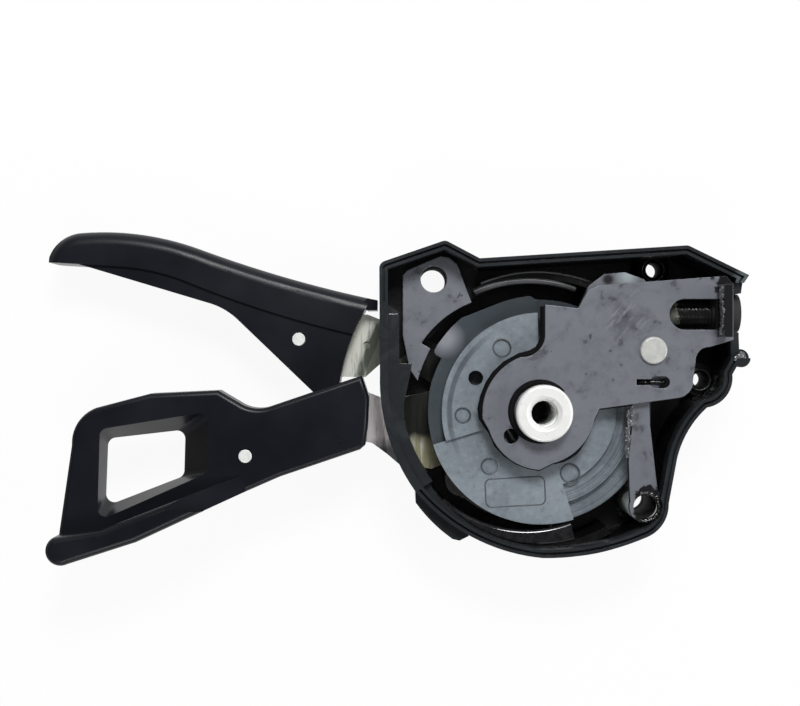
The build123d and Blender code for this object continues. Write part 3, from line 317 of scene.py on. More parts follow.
def drumPlastic():
    material, tree, shader = newMaterial("drumPlastic", drumFinish["colour"], specular=0.42)
    vector = objectCoordinates(tree)
    x, y, z = millimetres(tree)
    away = lengthOf(tree, x, y)
    cloud = noise(tree, vector, 130, 5, 0.6, 0.6)
    flecks = noise(tree, vector, 1000, 4, 0.65, 0.3)
    colour = mixColour(tree, remap(tree, cloud, 0.38, 0.64, 0, 1), drumFinish["cool"], drumFinish["colour"])
    colour = mixColour(tree, remap(tree, flecks, 0.52, 0.74, 0, 0.45), colour, drumFinish["pale"])
    colour = mixColour(tree, remap(tree, flecks, 0.30, 0.44, 0.30, 0), colour, drumFinish["lobe"])
    low = fallsAt(tree, z, drumFinish["bandTop"], 0.1)
    rings = turnedRings(tree, away)
    colour = mixColour(tree, times(tree, low, rings), colour, drumFinish["lobe"])
    towards = plus(tree, times(tree, x, drumFinish["shadeSide"][0]),
                   times(tree, y, drumFinish["shadeSide"][1]))
    top = times(tree, low, remap(tree, y, 11.0, 13.5, 0, 1))
    colour = mixColour(tree, top, colour, drumFinish["lobe"])
    # painted shade: the low band darkens towards the shade side
    wetAndShade = times(tree, low, remap(tree, towards, 9.0, 13.5, 0, 0.92))
    colour = mixColour(tree, wetAndShade, colour, drumFinish["band"])
    # painted highlight on the low band of the lobe
    colour = mixColour(tree, times(tree, low, nearSpot(tree, drumFinish["paintedSheenSpot"], 0.8, 3.2)),
                       colour, drumFinish["paintedSheen"])
    # painted shade in a ring strip on the high face, on the shade side
    paintedGrooveShade = times(tree, risesAt(tree, away, drumFinish["grooveFrom"], 0.1),
                   fallsAt(tree, away, drumFinish["grooveTo"], 0.1))
    paintedGrooveShade = times(tree, paintedGrooveShade, remap(tree, towards, 10.0, 13.0, 0, 0.6))
    paintedGrooveShade = times(tree, paintedGrooveShade, combine(tree, "SUBTRACT", 1.0, low))
    colour = mixColour(tree, paintedGrooveShade, colour, drumFinish["lobe"])
    # painted shade: the side walls are darkened to the band tone
    colour = mixColour(tree, remap(tree, facing(tree, "Z"), 0.2, 0.5, 0.75, 0), colour, drumFinish["band"])
    tree.links.new(colour, shader.inputs["Base Color"])
    tree.links.new(remap(tree, cloud, 0.3, 0.7, 0.26, 0.42), shader.inputs["Roughness"])
    tree.links.new(bump(tree, flecks, 0.25, 0.04 * mm), shader.inputs["Normal"])
    return material


def turnedRings(tree, away):  # faint rings that follow the drum's edge
    outward = tree.nodes.new("ShaderNodeCombineXYZ")
    tree.links.new(away, outward.inputs["X"])
    lines = noise(tree, outward.outputs["Vector"], 2.6, 3, 0.7)
    return remap(tree, lines, 0.42, 0.62, 0, 0.6)


def plated(name, colour, shade, roughLow, roughHigh, metallic=0.6, size=420, specular=0.5):
    material, tree, shader = newMaterial(name, colour, metallic, specular)
    vector = objectCoordinates(tree)
    cloud = noise(tree, vector, size, 4, 0.6, 0.4)
    fine = noise(tree, vector, 3 * size, 3, 0.6)
    tone = mixColour(tree, remap(tree, cloud, 0.36, 0.66, 0, 1), colour, shade)
    tree.links.new(tone, shader.inputs["Base Color"])
    tree.links.new(remap(tree, fine, 0.3, 0.7, roughLow, roughHigh), shader.inputs["Roughness"])
    tree.links.new(bump(tree, fine, 0.12, 0.02 * mm), shader.inputs["Normal"])
    return material


pullArm = {"bright": (0.95, 0.96, 0.87), "streak": (0.21, 0.23, 0.19), "paintedShade": (0.012, 0.012, 0.010),
           "brightFrom": 28.9, "brightTo": 30.1, "shadeInside": 22.5, "shadeAbove": 2.0,
           "corner": (0.105, 0.118, 0.132), "shadedBelow": -40.0}
releaseArm = {"bright": (0.97, 0.92, 0.94), "streak": (0.36, 0.35, 0.22), "paintedShade": (0.016, 0.016, 0.013),
              "brightFrom": 22.6, "brightTo": 23.4, "shadeInside": 21.5, "shadeAbove": -4.6,
              "corner": (0.105, 0.118, 0.132), "shadedBelow": -5.2}

def armZinc(name, arm):
    material, tree, shader = newMaterial(name, arm["bright"], metallic=0.15)
    x, y, _ = millimetres(tree)
    away = lengthOf(tree, x, y)
    streaks = noise(tree, objectCoordinates(tree, (1500, 150, 400), (0, 0, 0.15)), 1.0, 3, 0.55, 0.2)
    cloud = noise(tree, objectCoordinates(tree), 260, 3, 0.55, 0.3)
    # painted reflection: bright further from the axle, darker and streaky nearer it
    paintedShine = plus(tree, remap(tree, away, arm["brightFrom"], arm["brightTo"], 0, 1),
                 remap(tree, streaks, 0.3, 0.7, -0.5, 0.5))
    colour = mixColour(tree, remap(tree, paintedShine, 0.1, 0.9, 0, 1), arm["streak"], arm["bright"])
    edge = plus(tree, cloud, -0.5)
    # painted shade on the lower corner of the plate outside the tray
    outside = remap(tree, away, 22.8, 23.6, 0, 1)
    below = remap(tree, plus(tree, y, times(tree, edge, 2.0)),
                  arm["shadedBelow"] - 0.8, arm["shadedBelow"] + 0.8, 0.9, 0)
    colour = mixColour(tree, times(tree, outside, below), colour, arm["corner"])
    # painted shade on the plate within the tray
    shadedInner = plus(tree, remap(tree, away, arm["shadeInside"] - 1.5, arm["shadeInside"] + 1.0, 1, 0), edge)
    above = plus(tree, risesAt(tree, y, arm["shadeAbove"], 1.5), edge)
    paintedShade = times(tree, remap(tree, shadedInner, 0.3, 0.6, 0, 1), remap(tree, above, 0.2, 0.8, 0, 1))
    colour = mixColour(tree, paintedShade, colour, arm["paintedShade"])
    # painted shade on the side walls
    colour = mixColour(tree, remap(tree, facing(tree, "Z"), 0.2, 0.5, 0.7, 0), colour, arm["paintedShade"])
    tree.links.new(colour, shader.inputs["Base Color"])
    tree.links.new(remap(tree, streaks, 0.3, 0.7, 0.24, 0.40), shader.inputs["Roughness"])
    tree.links.new(bump(tree, cloud, 0.15, 0.05 * mm), shader.inputs["Normal"])
    return material


guideFinish = {"colour": (0.022, 0.022, 0.022), "tip": (0.26, 0.27, 0.23), "tipEnd": 21.2, "headStart": 26.3}

def guideSteel():
    material, tree, shader = newMaterial("guideSteel", guideFinish["colour"], metallic=0.3)
    x = millimetres(tree)[0]
    wetAndShade = noise(tree, objectCoordinates(tree), 700, 4, 0.6, 0.8)
    # painted glint on the left end of the guide
    ragged = plus(tree, x, remap(tree, wetAndShade, 0.3, 0.7, -0.6, 0.6))
    tip = fallsAt(tree, ragged, guideFinish["tipEnd"], 0.15)
    colour = mixColour(tree, tip, guideFinish["colour"], guideFinish["tip"])
    tree.links.new(colour, shader.inputs["Base Color"])
    head = risesAt(tree, x, guideFinish["headStart"], 0.1)
    gloss = remap(tree, wetAndShade, 0.3, 0.7, 0.12, 0.34)
    tree.links.new(mixValue(tree, head, gloss, 0.7), shader.inputs["Roughness"])
    tree.links.new(bump(tree, wetAndShade, 0.3, 0.05 * mm), shader.inputs["Normal"])
    return material


# painted light: the spacer's colours are paler than its plastic, standing in for light that the strut keeps
# off
spacerFinish = {"pale": (0.86, 0.95, 0.92), "shade": (0.70, 0.80, 0.77), "paintedBoreShade": (0.010, 0.010, 0.011),
                "at": (16.0, -14.6)}

def spacerPlastic():
    material, tree, shader = newMaterial("spacerPlastic", spacerFinish["pale"], specular=0.4)
    cloud = noise(tree, objectCoordinates(tree), 500, 4)
    colour = mixColour(tree, remap(tree, cloud, 0.35, 0.65, 0, 1),
                       spacerFinish["pale"], spacerFinish["shade"])
    # painted shade on the spacer's inner wall
    shadedInner = nearSpot(tree, spacerFinish["at"], 1.92, 2.02)
    tree.links.new(mixColour(tree, shadedInner, colour, spacerFinish["paintedBoreShade"]), shader.inputs["Base Color"])
    gloss = remap(tree, cloud, 0.3, 0.7, 0.3, 0.5)
    tree.links.new(mixValue(tree, shadedInner, gloss, 0.85), shader.inputs["Roughness"])
    return material


bandHighlight = {"pale": (0.075, 0.077, 0.081), "dark": (0.006, 0.006, 0.007), "from": -11.0, "full": -8.0,
              "fade": 1.5, "to": 7.0}

def highlightBandPlastic():  # painted highlight: a wall band painted pale in its middle, fading to dark at both ends
    material, tree, shader = newMaterial("highlightBandPlastic", bandHighlight["pale"], specular=0.45)
    x = millimetres(tree)[0]
    wear = noise(tree, objectCoordinates(tree), 420, 4, 0.6, 0.3)
    paintedHighlight = times(tree, remap(tree, x, bandHighlight["from"], bandHighlight["full"], 0, 1),
                remap(tree, x, bandHighlight["fade"], bandHighlight["to"], 1, 0))
    paintedHighlight = times(tree, paintedHighlight, remap(tree, wear, 0.3, 0.7, 0.75, 1))
    tree.links.new(mixColour(tree, paintedHighlight, bandHighlight["dark"], bandHighlight["pale"]), shader.inputs["Base Color"])
    tree.links.new(remap(tree, wear, 0.3, 0.7, 0.30, 0.42), shader.inputs["Roughness"])
    tree.links.new(bump(tree, wear, 0.1, 0.03 * mm), shader.inputs["Normal"])
    return material


def greaseFilm(name, colour, rough, ripple=0.4):
    material, tree, shader = newMaterial(name, colour, specular=0.6, coat=0.6, coatRoughness=0.05)
    wetAndShade = noise(tree, objectCoordinates(tree), 1400, 3, 0.6, 0.5)
    paler = tuple(3 * c for c in colour)
    tone = mixColour(tree, remap(tree, wetAndShade, 0.4, 0.7, 0, 1), colour, paler)
    tree.links.new(tone, shader.inputs["Base Color"])
    tree.links.new(remap(tree, wetAndShade, 0.3, 0.7, rough, 2 * rough), shader.inputs["Roughness"])
    tree.links.new(bump(tree, wetAndShade, ripple, 0.06 * mm), shader.inputs["Normal"])
    return material


finishes = {
    "tray_plastic": trayPlastic(),
    "lever_plastic": leverPlastic(),
    "dark_steel": darkSteel(),
    "bright_zinc": plated("brightZinc", (0.95, 0.95, 0.94), (0.90, 0.90, 0.885), 0.26, 0.40, 0.2),
    "yellow_zinc": plated("yellowZinc", (0.78, 0.78, 0.66), (0.55, 0.56, 0.46), 0.24, 0.42),
    "rivet_steel": plated("rivetSteel", (0.58, 0.585, 0.555), (0.48, 0.49, 0.48), 0.34, 0.52, 0.25, 700),
    "pin_steel": plated("pinSteel", (0.92, 0.93, 0.91), (0.74, 0.76, 0.73), 0.25, 0.40, 0.1, 900),
    "pawl_steel": plated("pawlSteel", (0.30, 0.30, 0.31), (0.20, 0.20, 0.21), 0.30, 0.48),
    "spring_steel": plated("springSteel", (0.52, 0.52, 0.52), (0.38, 0.38, 0.38), 0.25, 0.40, 0.8),
    "spacer_plastic": spacerPlastic(),
    "drum_plastic": drumPlastic(),
}
ownFinishes = {
    "pull_lever_plate": armZinc("pullArmZinc", pullArm),
    "release_lever_plate": armZinc("releaseArmZinc", releaseArm),
    "cable_guide": guideSteel(),
}
pieceFinishes = {
    "blackGrease": greaseFilm("blackGrease", (0.006, 0.006, 0.007), 0.07),
    # grey grease, partly painted glint: its colour is paler to stand in for the glints
    "greyGrease": greaseFilm("greyGrease", (0.070, 0.073, 0.077), 0.08),
    "markShade": plated("markShade", (0.050, 0.060, 0.068), (0.085, 0.098, 0.108), 0.4, 0.5, 0.0),
    # painted shadow for the beads along the plate edges
    "paintedShadowBlack": plated("paintedShadowBlack", (0.0035, 0.0035, 0.004), (0.006, 0.006, 0.007), 0.7, 0.9, 0.0,
                         specular=0.12),
    "wetPlastic": greaseFilm("wetPlastic", (0.008, 0.008, 0.009), 0.06, 0.05),
    "wallBandHighlight": highlightBandPlastic(),
}
print("materials made:", len(finishes) + len(ownFinishes) + len(pieceFinishes))


# CAD nodes: finish, and softened edges by modifiers

edgeWidths = {"tray_plastic": 0.22, "dark_steel": 0.16, "drum_plastic": 0.16, "bright_zinc": 0.12,
              "yellow_zinc": 0.10, "rivet_steel": 0.08, "pin_steel": 0.08, "spacer_plastic": 0.12}
smoothAngle = {"lever_plastic": 32}
weldDistance = 0.002 * mm
flatAngle = math.radians(0.8)
bevelAngle = math.radians(32)
bevelSegments = 3

def softenEdges(piece, width):
    weld = piece.modifiers.new("weld", "WELD")
    weld.merge_threshold = weldDistance
    flatten = piece.modifiers.new("flatten", "DECIMATE")
    flatten.decimate_type = "DISSOLVE"
    flatten.angle_limit = flatAngle
    if width:
        bevel = piece.modifiers.new("edges", "BEVEL")
        bevel.width = width * mm
        bevel.segments = bevelSegments
        bevel.limit_method = "ANGLE"
        bevel.angle_limit = bevelAngle
        bevel.use_clamp_overlap = True
        bevel.harden_normals = True


def smoothTree():  # welds a moulding's faces and shades it smooth except at its sharp edges
    tree = bpy.data.node_groups.new("smoothMoulding", "GeometryNodeTree")
    tree.interface.new_socket("Geometry", in_out="INPUT", socket_type="NodeSocketGeometry")
    angle = tree.interface.new_socket("Sharp Angle", in_out="INPUT", socket_type="NodeSocketFloat")
    tree.interface.new_socket("Geometry", in_out="OUTPUT", socket_type="NodeSocketGeometry")
    start = tree.nodes.new("NodeGroupInput")
    end = tree.nodes.new("NodeGroupOutput")
    merge = tree.nodes.new("GeometryNodeMergeByDistance")
    merge.inputs["Distance"].default_value = weldDistance
    faces = tree.nodes.new("GeometryNodeSetShadeSmooth")
    faces.domain = "FACE"
    sharp = tree.nodes.new("GeometryNodeSetShadeSmooth")
    sharp.domain = "EDGE"
    sharp.inputs["Shade Smooth"].default_value = False
    edges = tree.nodes.new("GeometryNodeInputMeshEdgeAngle")
    above = tree.nodes.new("FunctionNodeCompare")
    above.operation = "GREATER_THAN"
    tree.links.new(start.outputs["Geometry"], merge.inputs["Geometry"])
    tree.links.new(merge.outputs["Geometry"], faces.inputs["Geometry"])
    tree.links.new(faces.outputs["Geometry"], sharp.inputs["Geometry"])
    tree.links.new(edges.outputs["Unsigned Angle"], above.inputs[0])
    tree.links.new(start.outputs["Sharp Angle"], above.inputs[1])
    tree.links.new(above.outputs["Result"], sharp.inputs["Selection"])
    tree.links.new(sharp.outputs["Geometry"], end.inputs["Geometry"])
    return tree, angle.identifier


slotOf = {part["node"]: part["material_slot"] for part in frame["record"]["subparts"]}
smoothing, angleInput = smoothTree()

for nodeName, piece in nodes.items():
    slot = slotOf[nodeName]
    piece.data.materials.clear()
    piece.data.materials.append(ownFinishes.get(nodeName, finishes[slot]))
    if slot in smoothAngle:
        smooth = piece.modifiers.new("smooth", "NODES")
        smooth.node_group = smoothing
        smooth[angleInput] = math.radians(smoothAngle[slot])
        flats = piece.modifiers.new("flats", "WEIGHTED_NORMAL")
        flats.keep_sharp = True
    else:
        softenEdges(piece, edgeWidths.get(slot, 0))
print("nodes finished:", len(nodes))


# Pieces made by Geometry Nodes: threads, moulded marks, grease, and painted shadow along the plate edges

def startTree(name, inputs):
    tree = bpy.data.node_groups.new(name, "GeometryNodeTree")
    tree.interface.new_socket("Geometry", in_out="INPUT", socket_type="NodeSocketGeometry")
    found = {}
    for label, kind in inputs.items():
        socket = tree.interface.new_socket(label, in_out="INPUT", socket_type="NodeSocket" + kind)
        found[label] = socket.identifier
    tree.interface.new_socket("Geometry", in_out="OUTPUT", socket_type="NodeSocketGeometry")
    return tree, tree.nodes.new("NodeGroupInput"), found


def endTree(tree, start, geometry):
    realize = tree.nodes.new("GeometryNodeRealizeInstances")
    paint = tree.nodes.new("GeometryNodeSetMaterial")
    end = tree.nodes.new("NodeGroupOutput")
    tree.links.new(geometry, realize.inputs["Geometry"])
    tree.links.new(realize.outputs["Geometry"], paint.inputs["Geometry"])
    tree.links.new(start.outputs["Material"], paint.inputs["Material"])
    tree.links.new(paint.outputs["Geometry"], end.inputs["Geometry"])


wireSides = 6
threadSteps = 36

def sweepRound(tree, start, curve, radius):  # a round wire along a curve
    profile = tree.nodes.new("GeometryNodeCurvePrimitiveCircle")
    profile.inputs["Resolution"].default_value = wireSides
    tree.links.new(radius, profile.inputs["Radius"])
    sweep = tree.nodes.new("GeometryNodeCurveToMesh")
    sweep.inputs["Fill Caps"].default_value = True
    tree.links.new(curve, sweep.inputs["Curve"])
    tree.links.new(profile.outputs["Curve"], sweep.inputs["Profile Curve"])
    endTree(tree, start, sweep.outputs["Mesh"])


def threadTree():  # a wire wound round a bore or a rod
    tree, start, found = startTree("threadWinding", {"Radius": "Float", "Wire": "Float", "Length": "Float",
                                                     "Turns": "Float", "Material": "Material"})
    spiral = tree.nodes.new("GeometryNodeCurveSpiral")
    spiral.inputs["Resolution"].default_value = threadSteps
    for label in ("Start Radius", "End Radius"):
        tree.links.new(start.outputs["Radius"], spiral.inputs[label])
    tree.links.new(start.outputs["Length"], spiral.inputs["Height"])
    tree.links.new(start.outputs["Turns"], spiral.inputs["Rotations"])
    sweepRound(tree, start, spiral.outputs["Curve"], start.outputs["Wire"])
    return tree, found


def ridgeTree():  # a low ridge along drawn lines
    tree, start, found = startTree("mouldedRidge", {"Width": "Float", "Material": "Material"})
    line = tree.nodes.new("GeometryNodeMeshToCurve")
    tree.links.new(start.outputs["Geometry"], line.inputs["Mesh"])
    sweepRound(tree, start, line.outputs["Curve"], times(tree, start.outputs["Width"], 0.5))
    return tree, found


def lumpTree():  # soft lumps strewn along drawn lines
    tree, start, found = startTree("greaseLumps", {"Count": "Int", "Small": "Vector", "Large": "Vector",
                                                   "Stray": "Vector", "Seed": "Int", "Material": "Material"})
    line = tree.nodes.new("GeometryNodeMeshToCurve")
    points = tree.nodes.new("GeometryNodeCurveToPoints")
    tree.links.new(start.outputs["Geometry"], line.inputs["Mesh"])
    tree.links.new(line.outputs["Curve"], points.inputs["Curve"])
    tree.links.new(start.outputs["Count"], points.inputs["Count"])
    astray = tree.nodes.new("FunctionNodeRandomValue")
    astray.data_type = "FLOAT_VECTOR"
    flip = tree.nodes.new("ShaderNodeVectorMath")
    flip.operation = "SCALE"
    flip.inputs["Scale"].default_value = -1
    tree.links.new(start.outputs["Stray"], flip.inputs[0])
    tree.links.new(flip.outputs["Vector"], astray.inputs[0])
    tree.links.new(start.outputs["Stray"], astray.inputs[1])
    tree.links.new(start.outputs["Seed"], astray.inputs["Seed"])
    move = tree.nodes.new("GeometryNodeSetPosition")
    tree.links.new(points.outputs["Points"], move.inputs["Geometry"])
    tree.links.new(astray.outputs[0], move.inputs["Offset"])
    ball = tree.nodes.new("GeometryNodeMeshIcoSphere")
    ball.inputs["Radius"].default_value = 1
    ball.inputs["Subdivisions"].default_value = 3
    size = tree.nodes.new("FunctionNodeRandomValue")
    size.data_type = "FLOAT_VECTOR"
    tree.links.new(start.outputs["Small"], size.inputs[0])
    tree.links.new(start.outputs["Large"], size.inputs[1])
    tree.links.new(start.outputs["Seed"], size.inputs["Seed"])
    strew = tree.nodes.new("GeometryNodeInstanceOnPoints")
    tree.links.new(move.outputs["Geometry"], strew.inputs["Points"])
    tree.links.new(ball.outputs["Mesh"], strew.inputs["Instance"])
    tree.links.new(size.outputs[0], strew.inputs["Scale"])
    endTree(tree, start, strew.outputs["Instances"])
    return tree, found


def linesMesh(name, lines):  # lines of points in millimetres, closed where one ends at its start
    mesh = bpy.data.meshes.new(name)
    points, edges = [], []
    for line in lines:
        closed = line[0] == line[-1]
        first = len(points)
        points += [Vector(point) * mm for point in (line[:-1] if closed else line)]
        last = len(points) - 1
        edges += [(i, i + 1) for i in range(first, last)]
        if closed:
            edges.append((last, first))
    mesh.from_pydata(points, edges, [])
    return mesh


def grow(name, mesh, treeAndInputs, values, material, place=None, melt=0.0):
    tree, found = treeAndInputs
    maker = bpy.data.objects.new(name + "Maker", mesh)
    scene.collection.objects.link(maker)
    nodesModifier = maker.modifiers.new("grow", "NODES")
    nodesModifier.node_group = tree
    for label, value in values.items():
        nodesModifier[found[label]] = value
    nodesModifier[found["Material"]] = material
    if melt:  # lumps run together
        remesh = maker.modifiers.new("melt", "REMESH")
        remesh.mode = "VOXEL"
        remesh.voxel_size = melt * mm
        remesh.use_smooth_shade = True
        relax = maker.modifiers.new("relax", "SMOOTH")
        relax.iterations = 4
    ready = maker.evaluated_get(bpy.context.evaluated_depsgraph_get())
    grown = bpy.data.meshes.new_from_object(ready)
    bpy.data.objects.remove(maker)
    grown.name = name
    if place is not None:
        grown.transform(place)
    grown.materials.clear()
    grown.materials.append(material)
    grown.polygons.foreach_set("use_smooth", [True] * len(grown.polygons))
    piece = bpy.data.objects.new(name, grown)
    scene.collection.objects.link(piece)
    return piece


def carried(piece, body):
    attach(piece, body)


def meshPiece(name, made, finish):  # a finished bmesh as an object
    mesh = bpy.data.meshes.new(name)
    made.to_mesh(mesh)
    made.free()
    mesh.materials.append(finish)
    piece = bpy.data.objects.new(name, mesh)
    scene.collection.objects.link(piece)
    return piece


def arcPoints(centre, radius, start, end, z, steps=24):
    angles = [math.radians(start + (end - start) * i / steps) for i in range(steps + 1)]
    return [(centre[0] + radius * math.cos(a), centre[1] + radius * math.sin(a), z) for a in angles]


ringSteps = 32

def ringPoints(centre, radius, z):
    ring = arcPoints(centre, radius, 0, 360, z, ringSteps)
    return ring[:-1] + ring[:1]


def roundedFrame(centre, width, height, corner, tilt, z):
    c, s = math.cos(math.radians(tilt)), math.sin(math.radians(tilt))
    points = []
    for sideX, sideY, start in ((1, 1, 0), (-1, 1, 90), (-1, -1, 180), (1, -1, 270)):
        middle = (sideX * (width / 2 - corner), sideY * (height / 2 - corner))
        for x, y, _ in arcPoints(middle, corner, start, start + 90, 0, 6):
            points.append((centre[0] + c * x - s * y, centre[1] + s * x + c * y, z))
    return points + points[:1]


threadMaker = threadTree()
ridgeMaker = ridgeTree()
lumpMaker = lumpTree()

def windThread(name, thread, finish, place):
    values = {"Radius": thread["radius"] * mm, "Wire": thread["wire"] * mm,
              "Length": thread["pitch"] * thread["turns"] * mm, "Turns": float(thread["turns"])}
    piece = grow(name, bpy.data.meshes.new(name + "Start"), threadMaker, values, finish, place)
    carried(piece, "tray")


def layRidge(name, lines, width, finish, body):
    values = {"Width": width * mm}
    piece = grow(name, linesMesh(name + "Lines", lines), ridgeMaker, values, pieceFinishes[finish])
    carried(piece, body)


guideThread = {"axis": (15.4, 10.5), "from": 21.4, "radius": 2.26, "wire": 0.17, "pitch": 0.55, "turns": 9}
lying = Matrix.Translation(Vector((guideThread["from"], *guideThread["axis"])) * mm)
lying = lying @ Matrix.Rotation(math.pi / 2, 4, "Y")
windThread("guideThread", guideThread, ownFinishes["cable_guide"], lying)

boreThread = {"from": 8.0, "radius": 2.06, "wire": 0.16, "pitch": 0.8, "turns": 10.8}
upright = Matrix.Translation((0, 0, boreThread["from"] * mm))
windThread("boreThread", boreThread, finishes["pin_steel"], upright)
print("threads made")

drumMarks = {"highFace": 12.6, "lowFace": 12.0, "width": 0.30, "sink": 0.07,
             "frame": {"centre": (-3.97, -12.5), "width": 9.3, "height": 4.4, "corner": 0.9, "tilt": 3.0},
             "rings": [((-6.1, 10.0), 1.4, "highFace"), ((-12.2, -0.5), 1.2, "highFace"),
                       ((4.6, -9.6), 1.5, "lowFace")],
             "bow": ((-8.0, -8.5), 1.3, 75, 285)}

def makeDrumMarks():
    low = drumMarks["lowFace"] - drumMarks["sink"]
    lines = [roundedFrame(*drumMarks["frame"].values(), low)]
    for centre, radius, face in drumMarks["rings"]:
        lines.append(ringPoints(centre, radius, drumMarks[face] - drumMarks["sink"]))
    lines.append(arcPoints(*drumMarks["bow"], low))
    layRidge("drumMarks", lines, drumMarks["width"], "markShade", "drum")


# pale ridges round the ring bosses and along the slot edge: moulded form with a painted highlight
trayMarks = {"width": 0.22, "rings": [((26.1, 4.9), 1.65, 6.5), ((18.9, 22.6), 1.75, 5.0)],
             "slotEdge": [(-23.7, 15.2, 14.25), (-23.0, 15.2, 14.25), (-22.4, 15.2, 14.25)]}

def makeTrayMarks():
    lines = [ringPoints(*ring) for ring in trayMarks["rings"]] + [trayMarks["slotEdge"]]
    layRidge("trayMarks", lines, trayMarks["width"], "greyGrease", "tray")


makeDrumMarks()
makeTrayMarks()
print("moulded marks made")

greaseMelt = 0.09  # size of the cells in which lumps run together
greaseSpots = {
    "toeGrease": {"lines": [arcPoints((16.0, -14.6), 2.16, -110, 110, 14.08)], "count": 26,
                  "small": (0.16, 0.16, 0.10), "large": (0.42, 0.42, 0.26), "stray": (0.14, 0.14, 0.04),
                  "finish": "blackGrease"},
    "cornerGrease": {"lines": [[(13.6, -16.6, 2.15), (14.2, -17.3, 2.2), (15.4, -17.6, 2.15)]], "count": 18,
                     "small": (0.2, 0.2, 0.15), "large": (0.5, 0.4, 0.4), "stray": (0.25, 0.2, 0.08),
                     "finish": "greyGrease"},
    "strutGrease": {"lines": [[(13.65, 1.3, 13.55), (13.45, -2.7, 13.55), (13.25, -6.8, 13.55)]], "count": 70,
                    "small": (0.10, 0.2, 0.12), "large": (0.30, 0.65, 0.30), "stray": (0.5, 0.1, 0.25),
                    "finish": "greyGrease"},
    "tabGrease": {"lines": [[(26.74, 12.2, 18.0), (26.74, 14.8, 18.8), (26.74, 18.8, 18.2)]], "count": 44,
                  "small": (0.12, 0.2, 0.2), "large": (0.36, 0.6, 0.6), "stray": (0.10, 0.3, 0.7),
                  "finish": "greyGrease"},
    "keyholeGrease": {"lines": [[(14.7, 4.7, 14.05), (16.6, 4.7, 14.05), (18.9, 4.7, 14.05)]], "count": 34,
                      "small": (0.35, 0.25, 0.2), "large": (0.6, 0.45, 0.5), "stray": (0.15, 0.1, 0.1),
                      "finish": "blackGrease"},
    "lugGrease": {"lines": [[(29.9, 8.2, 14.75), (30.8, 8.9, 14.75), (31.0, 7.9, 14.75)]], "count": 16,
                  "small": (0.2, 0.2, 0.12), "large": (0.55, 0.5, 0.25), "stray": (0.25, 0.25, 0.05),
                  "finish": "greyGrease"},
}
firstSeed = 3

def layGrease():
    for seed, (name, spot) in enumerate(greaseSpots.items(), firstSeed):
        values = {"Count": spot["count"], "Seed": seed}
        for label in ("small", "large", "stray"):
            values[label.capitalize()] = tuple(size * mm for size in spot[label])
        piece = grow(name, linesMesh(name + "Lines", spot["lines"]), lumpMaker, values,
                     pieceFinishes[spot["finish"]], melt=greaseMelt)
        carried(piece, "tray")


# painted shadow: dark matte beads along the plate edges and round the collar's foot, where shade falls
# between the plates and the drum
plateEdgeShadows = {
    "thickEdgeShadow": {"width": 1.3, "z": 14.3,
                  "line": [(0.3, 16.4), (0.3, 14.0), (0.3, 11.6), (-0.1, 10.5), (-0.6, 9.7), (-1.8, 9.0),
                           (-3.4, 8.6), (-5.6, 7.4), (-7.2, 5.9), (-8.2, 4.4), (-9.0, 2.4), (-9.4, 0.6),
                           (-9.2, -0.8), (-8.5, -1.9), (-7.8, -2.8)]},
    "thinEdgeShadow": {"width": 0.5, "z": 14.3,
                 "line": [(-9.3, -0.9), (-8.3, -2.7), (-7.2, -5.1), (-5.8, -6.6), (-4.0, -7.8), (-2.2, -8.5),
                          (-0.5, -8.8), (1.5, -7.8), (4.0, -6.7), (5.5, -5.5), (6.9, -3.6), (7.9, -1.1),
                          (8.7, 0.6), (14.0, 1.3)]},
    "lowEdgeShadow": {"width": 1.15, "z": 14.3,
                "line": [(0.6, -7.5), (1.9, -7.4), (3.0, -7.15), (4.0, -6.7), (5.0, -6.0), (5.8, -4.9),
                         (6.2, -3.9)]},
    "collarEdgeShadow": {"width": 1.0, "z": 15.3,
                   "line": [(x, y) for x, y, _ in arcPoints((-0.45, 0.2), 4.45, 40, 290, 0, 40)]},
}

def layPlateEdgeShadows():
    for name, edge in plateEdgeShadows.items():
        line = [(x, y, edge["z"]) for x, y in edge["line"]]
        layRidge(name, [line], edge["width"], "paintedShadowBlack", "tray")


layGrease()
layPlateEdgeShadows()
# counts the grease lumps and the painted shadow beads
print("grease laid:", len(greaseSpots) + len(plateEdgeShadows))


# Rounded lips on the top of the tray's round wall, where the gloss runs along it

outerShare = 0.9  # the outer edge's rounding as a share of the inner one's
lipSharpAngle = 40

def quarterRound(edge, high, corner, rows, inward):  # points up the inner edge, or down the outer one
    points = []
    for i in range(rows + 1):
        turn = math.pi / 2 * (i / rows if inward else 1 - i / rows)
        side = corner * (1 - math.cos(turn))
        points.append((edge + side if inward else edge - side, high - corner * (1 - math.sin(turn))))
    return points


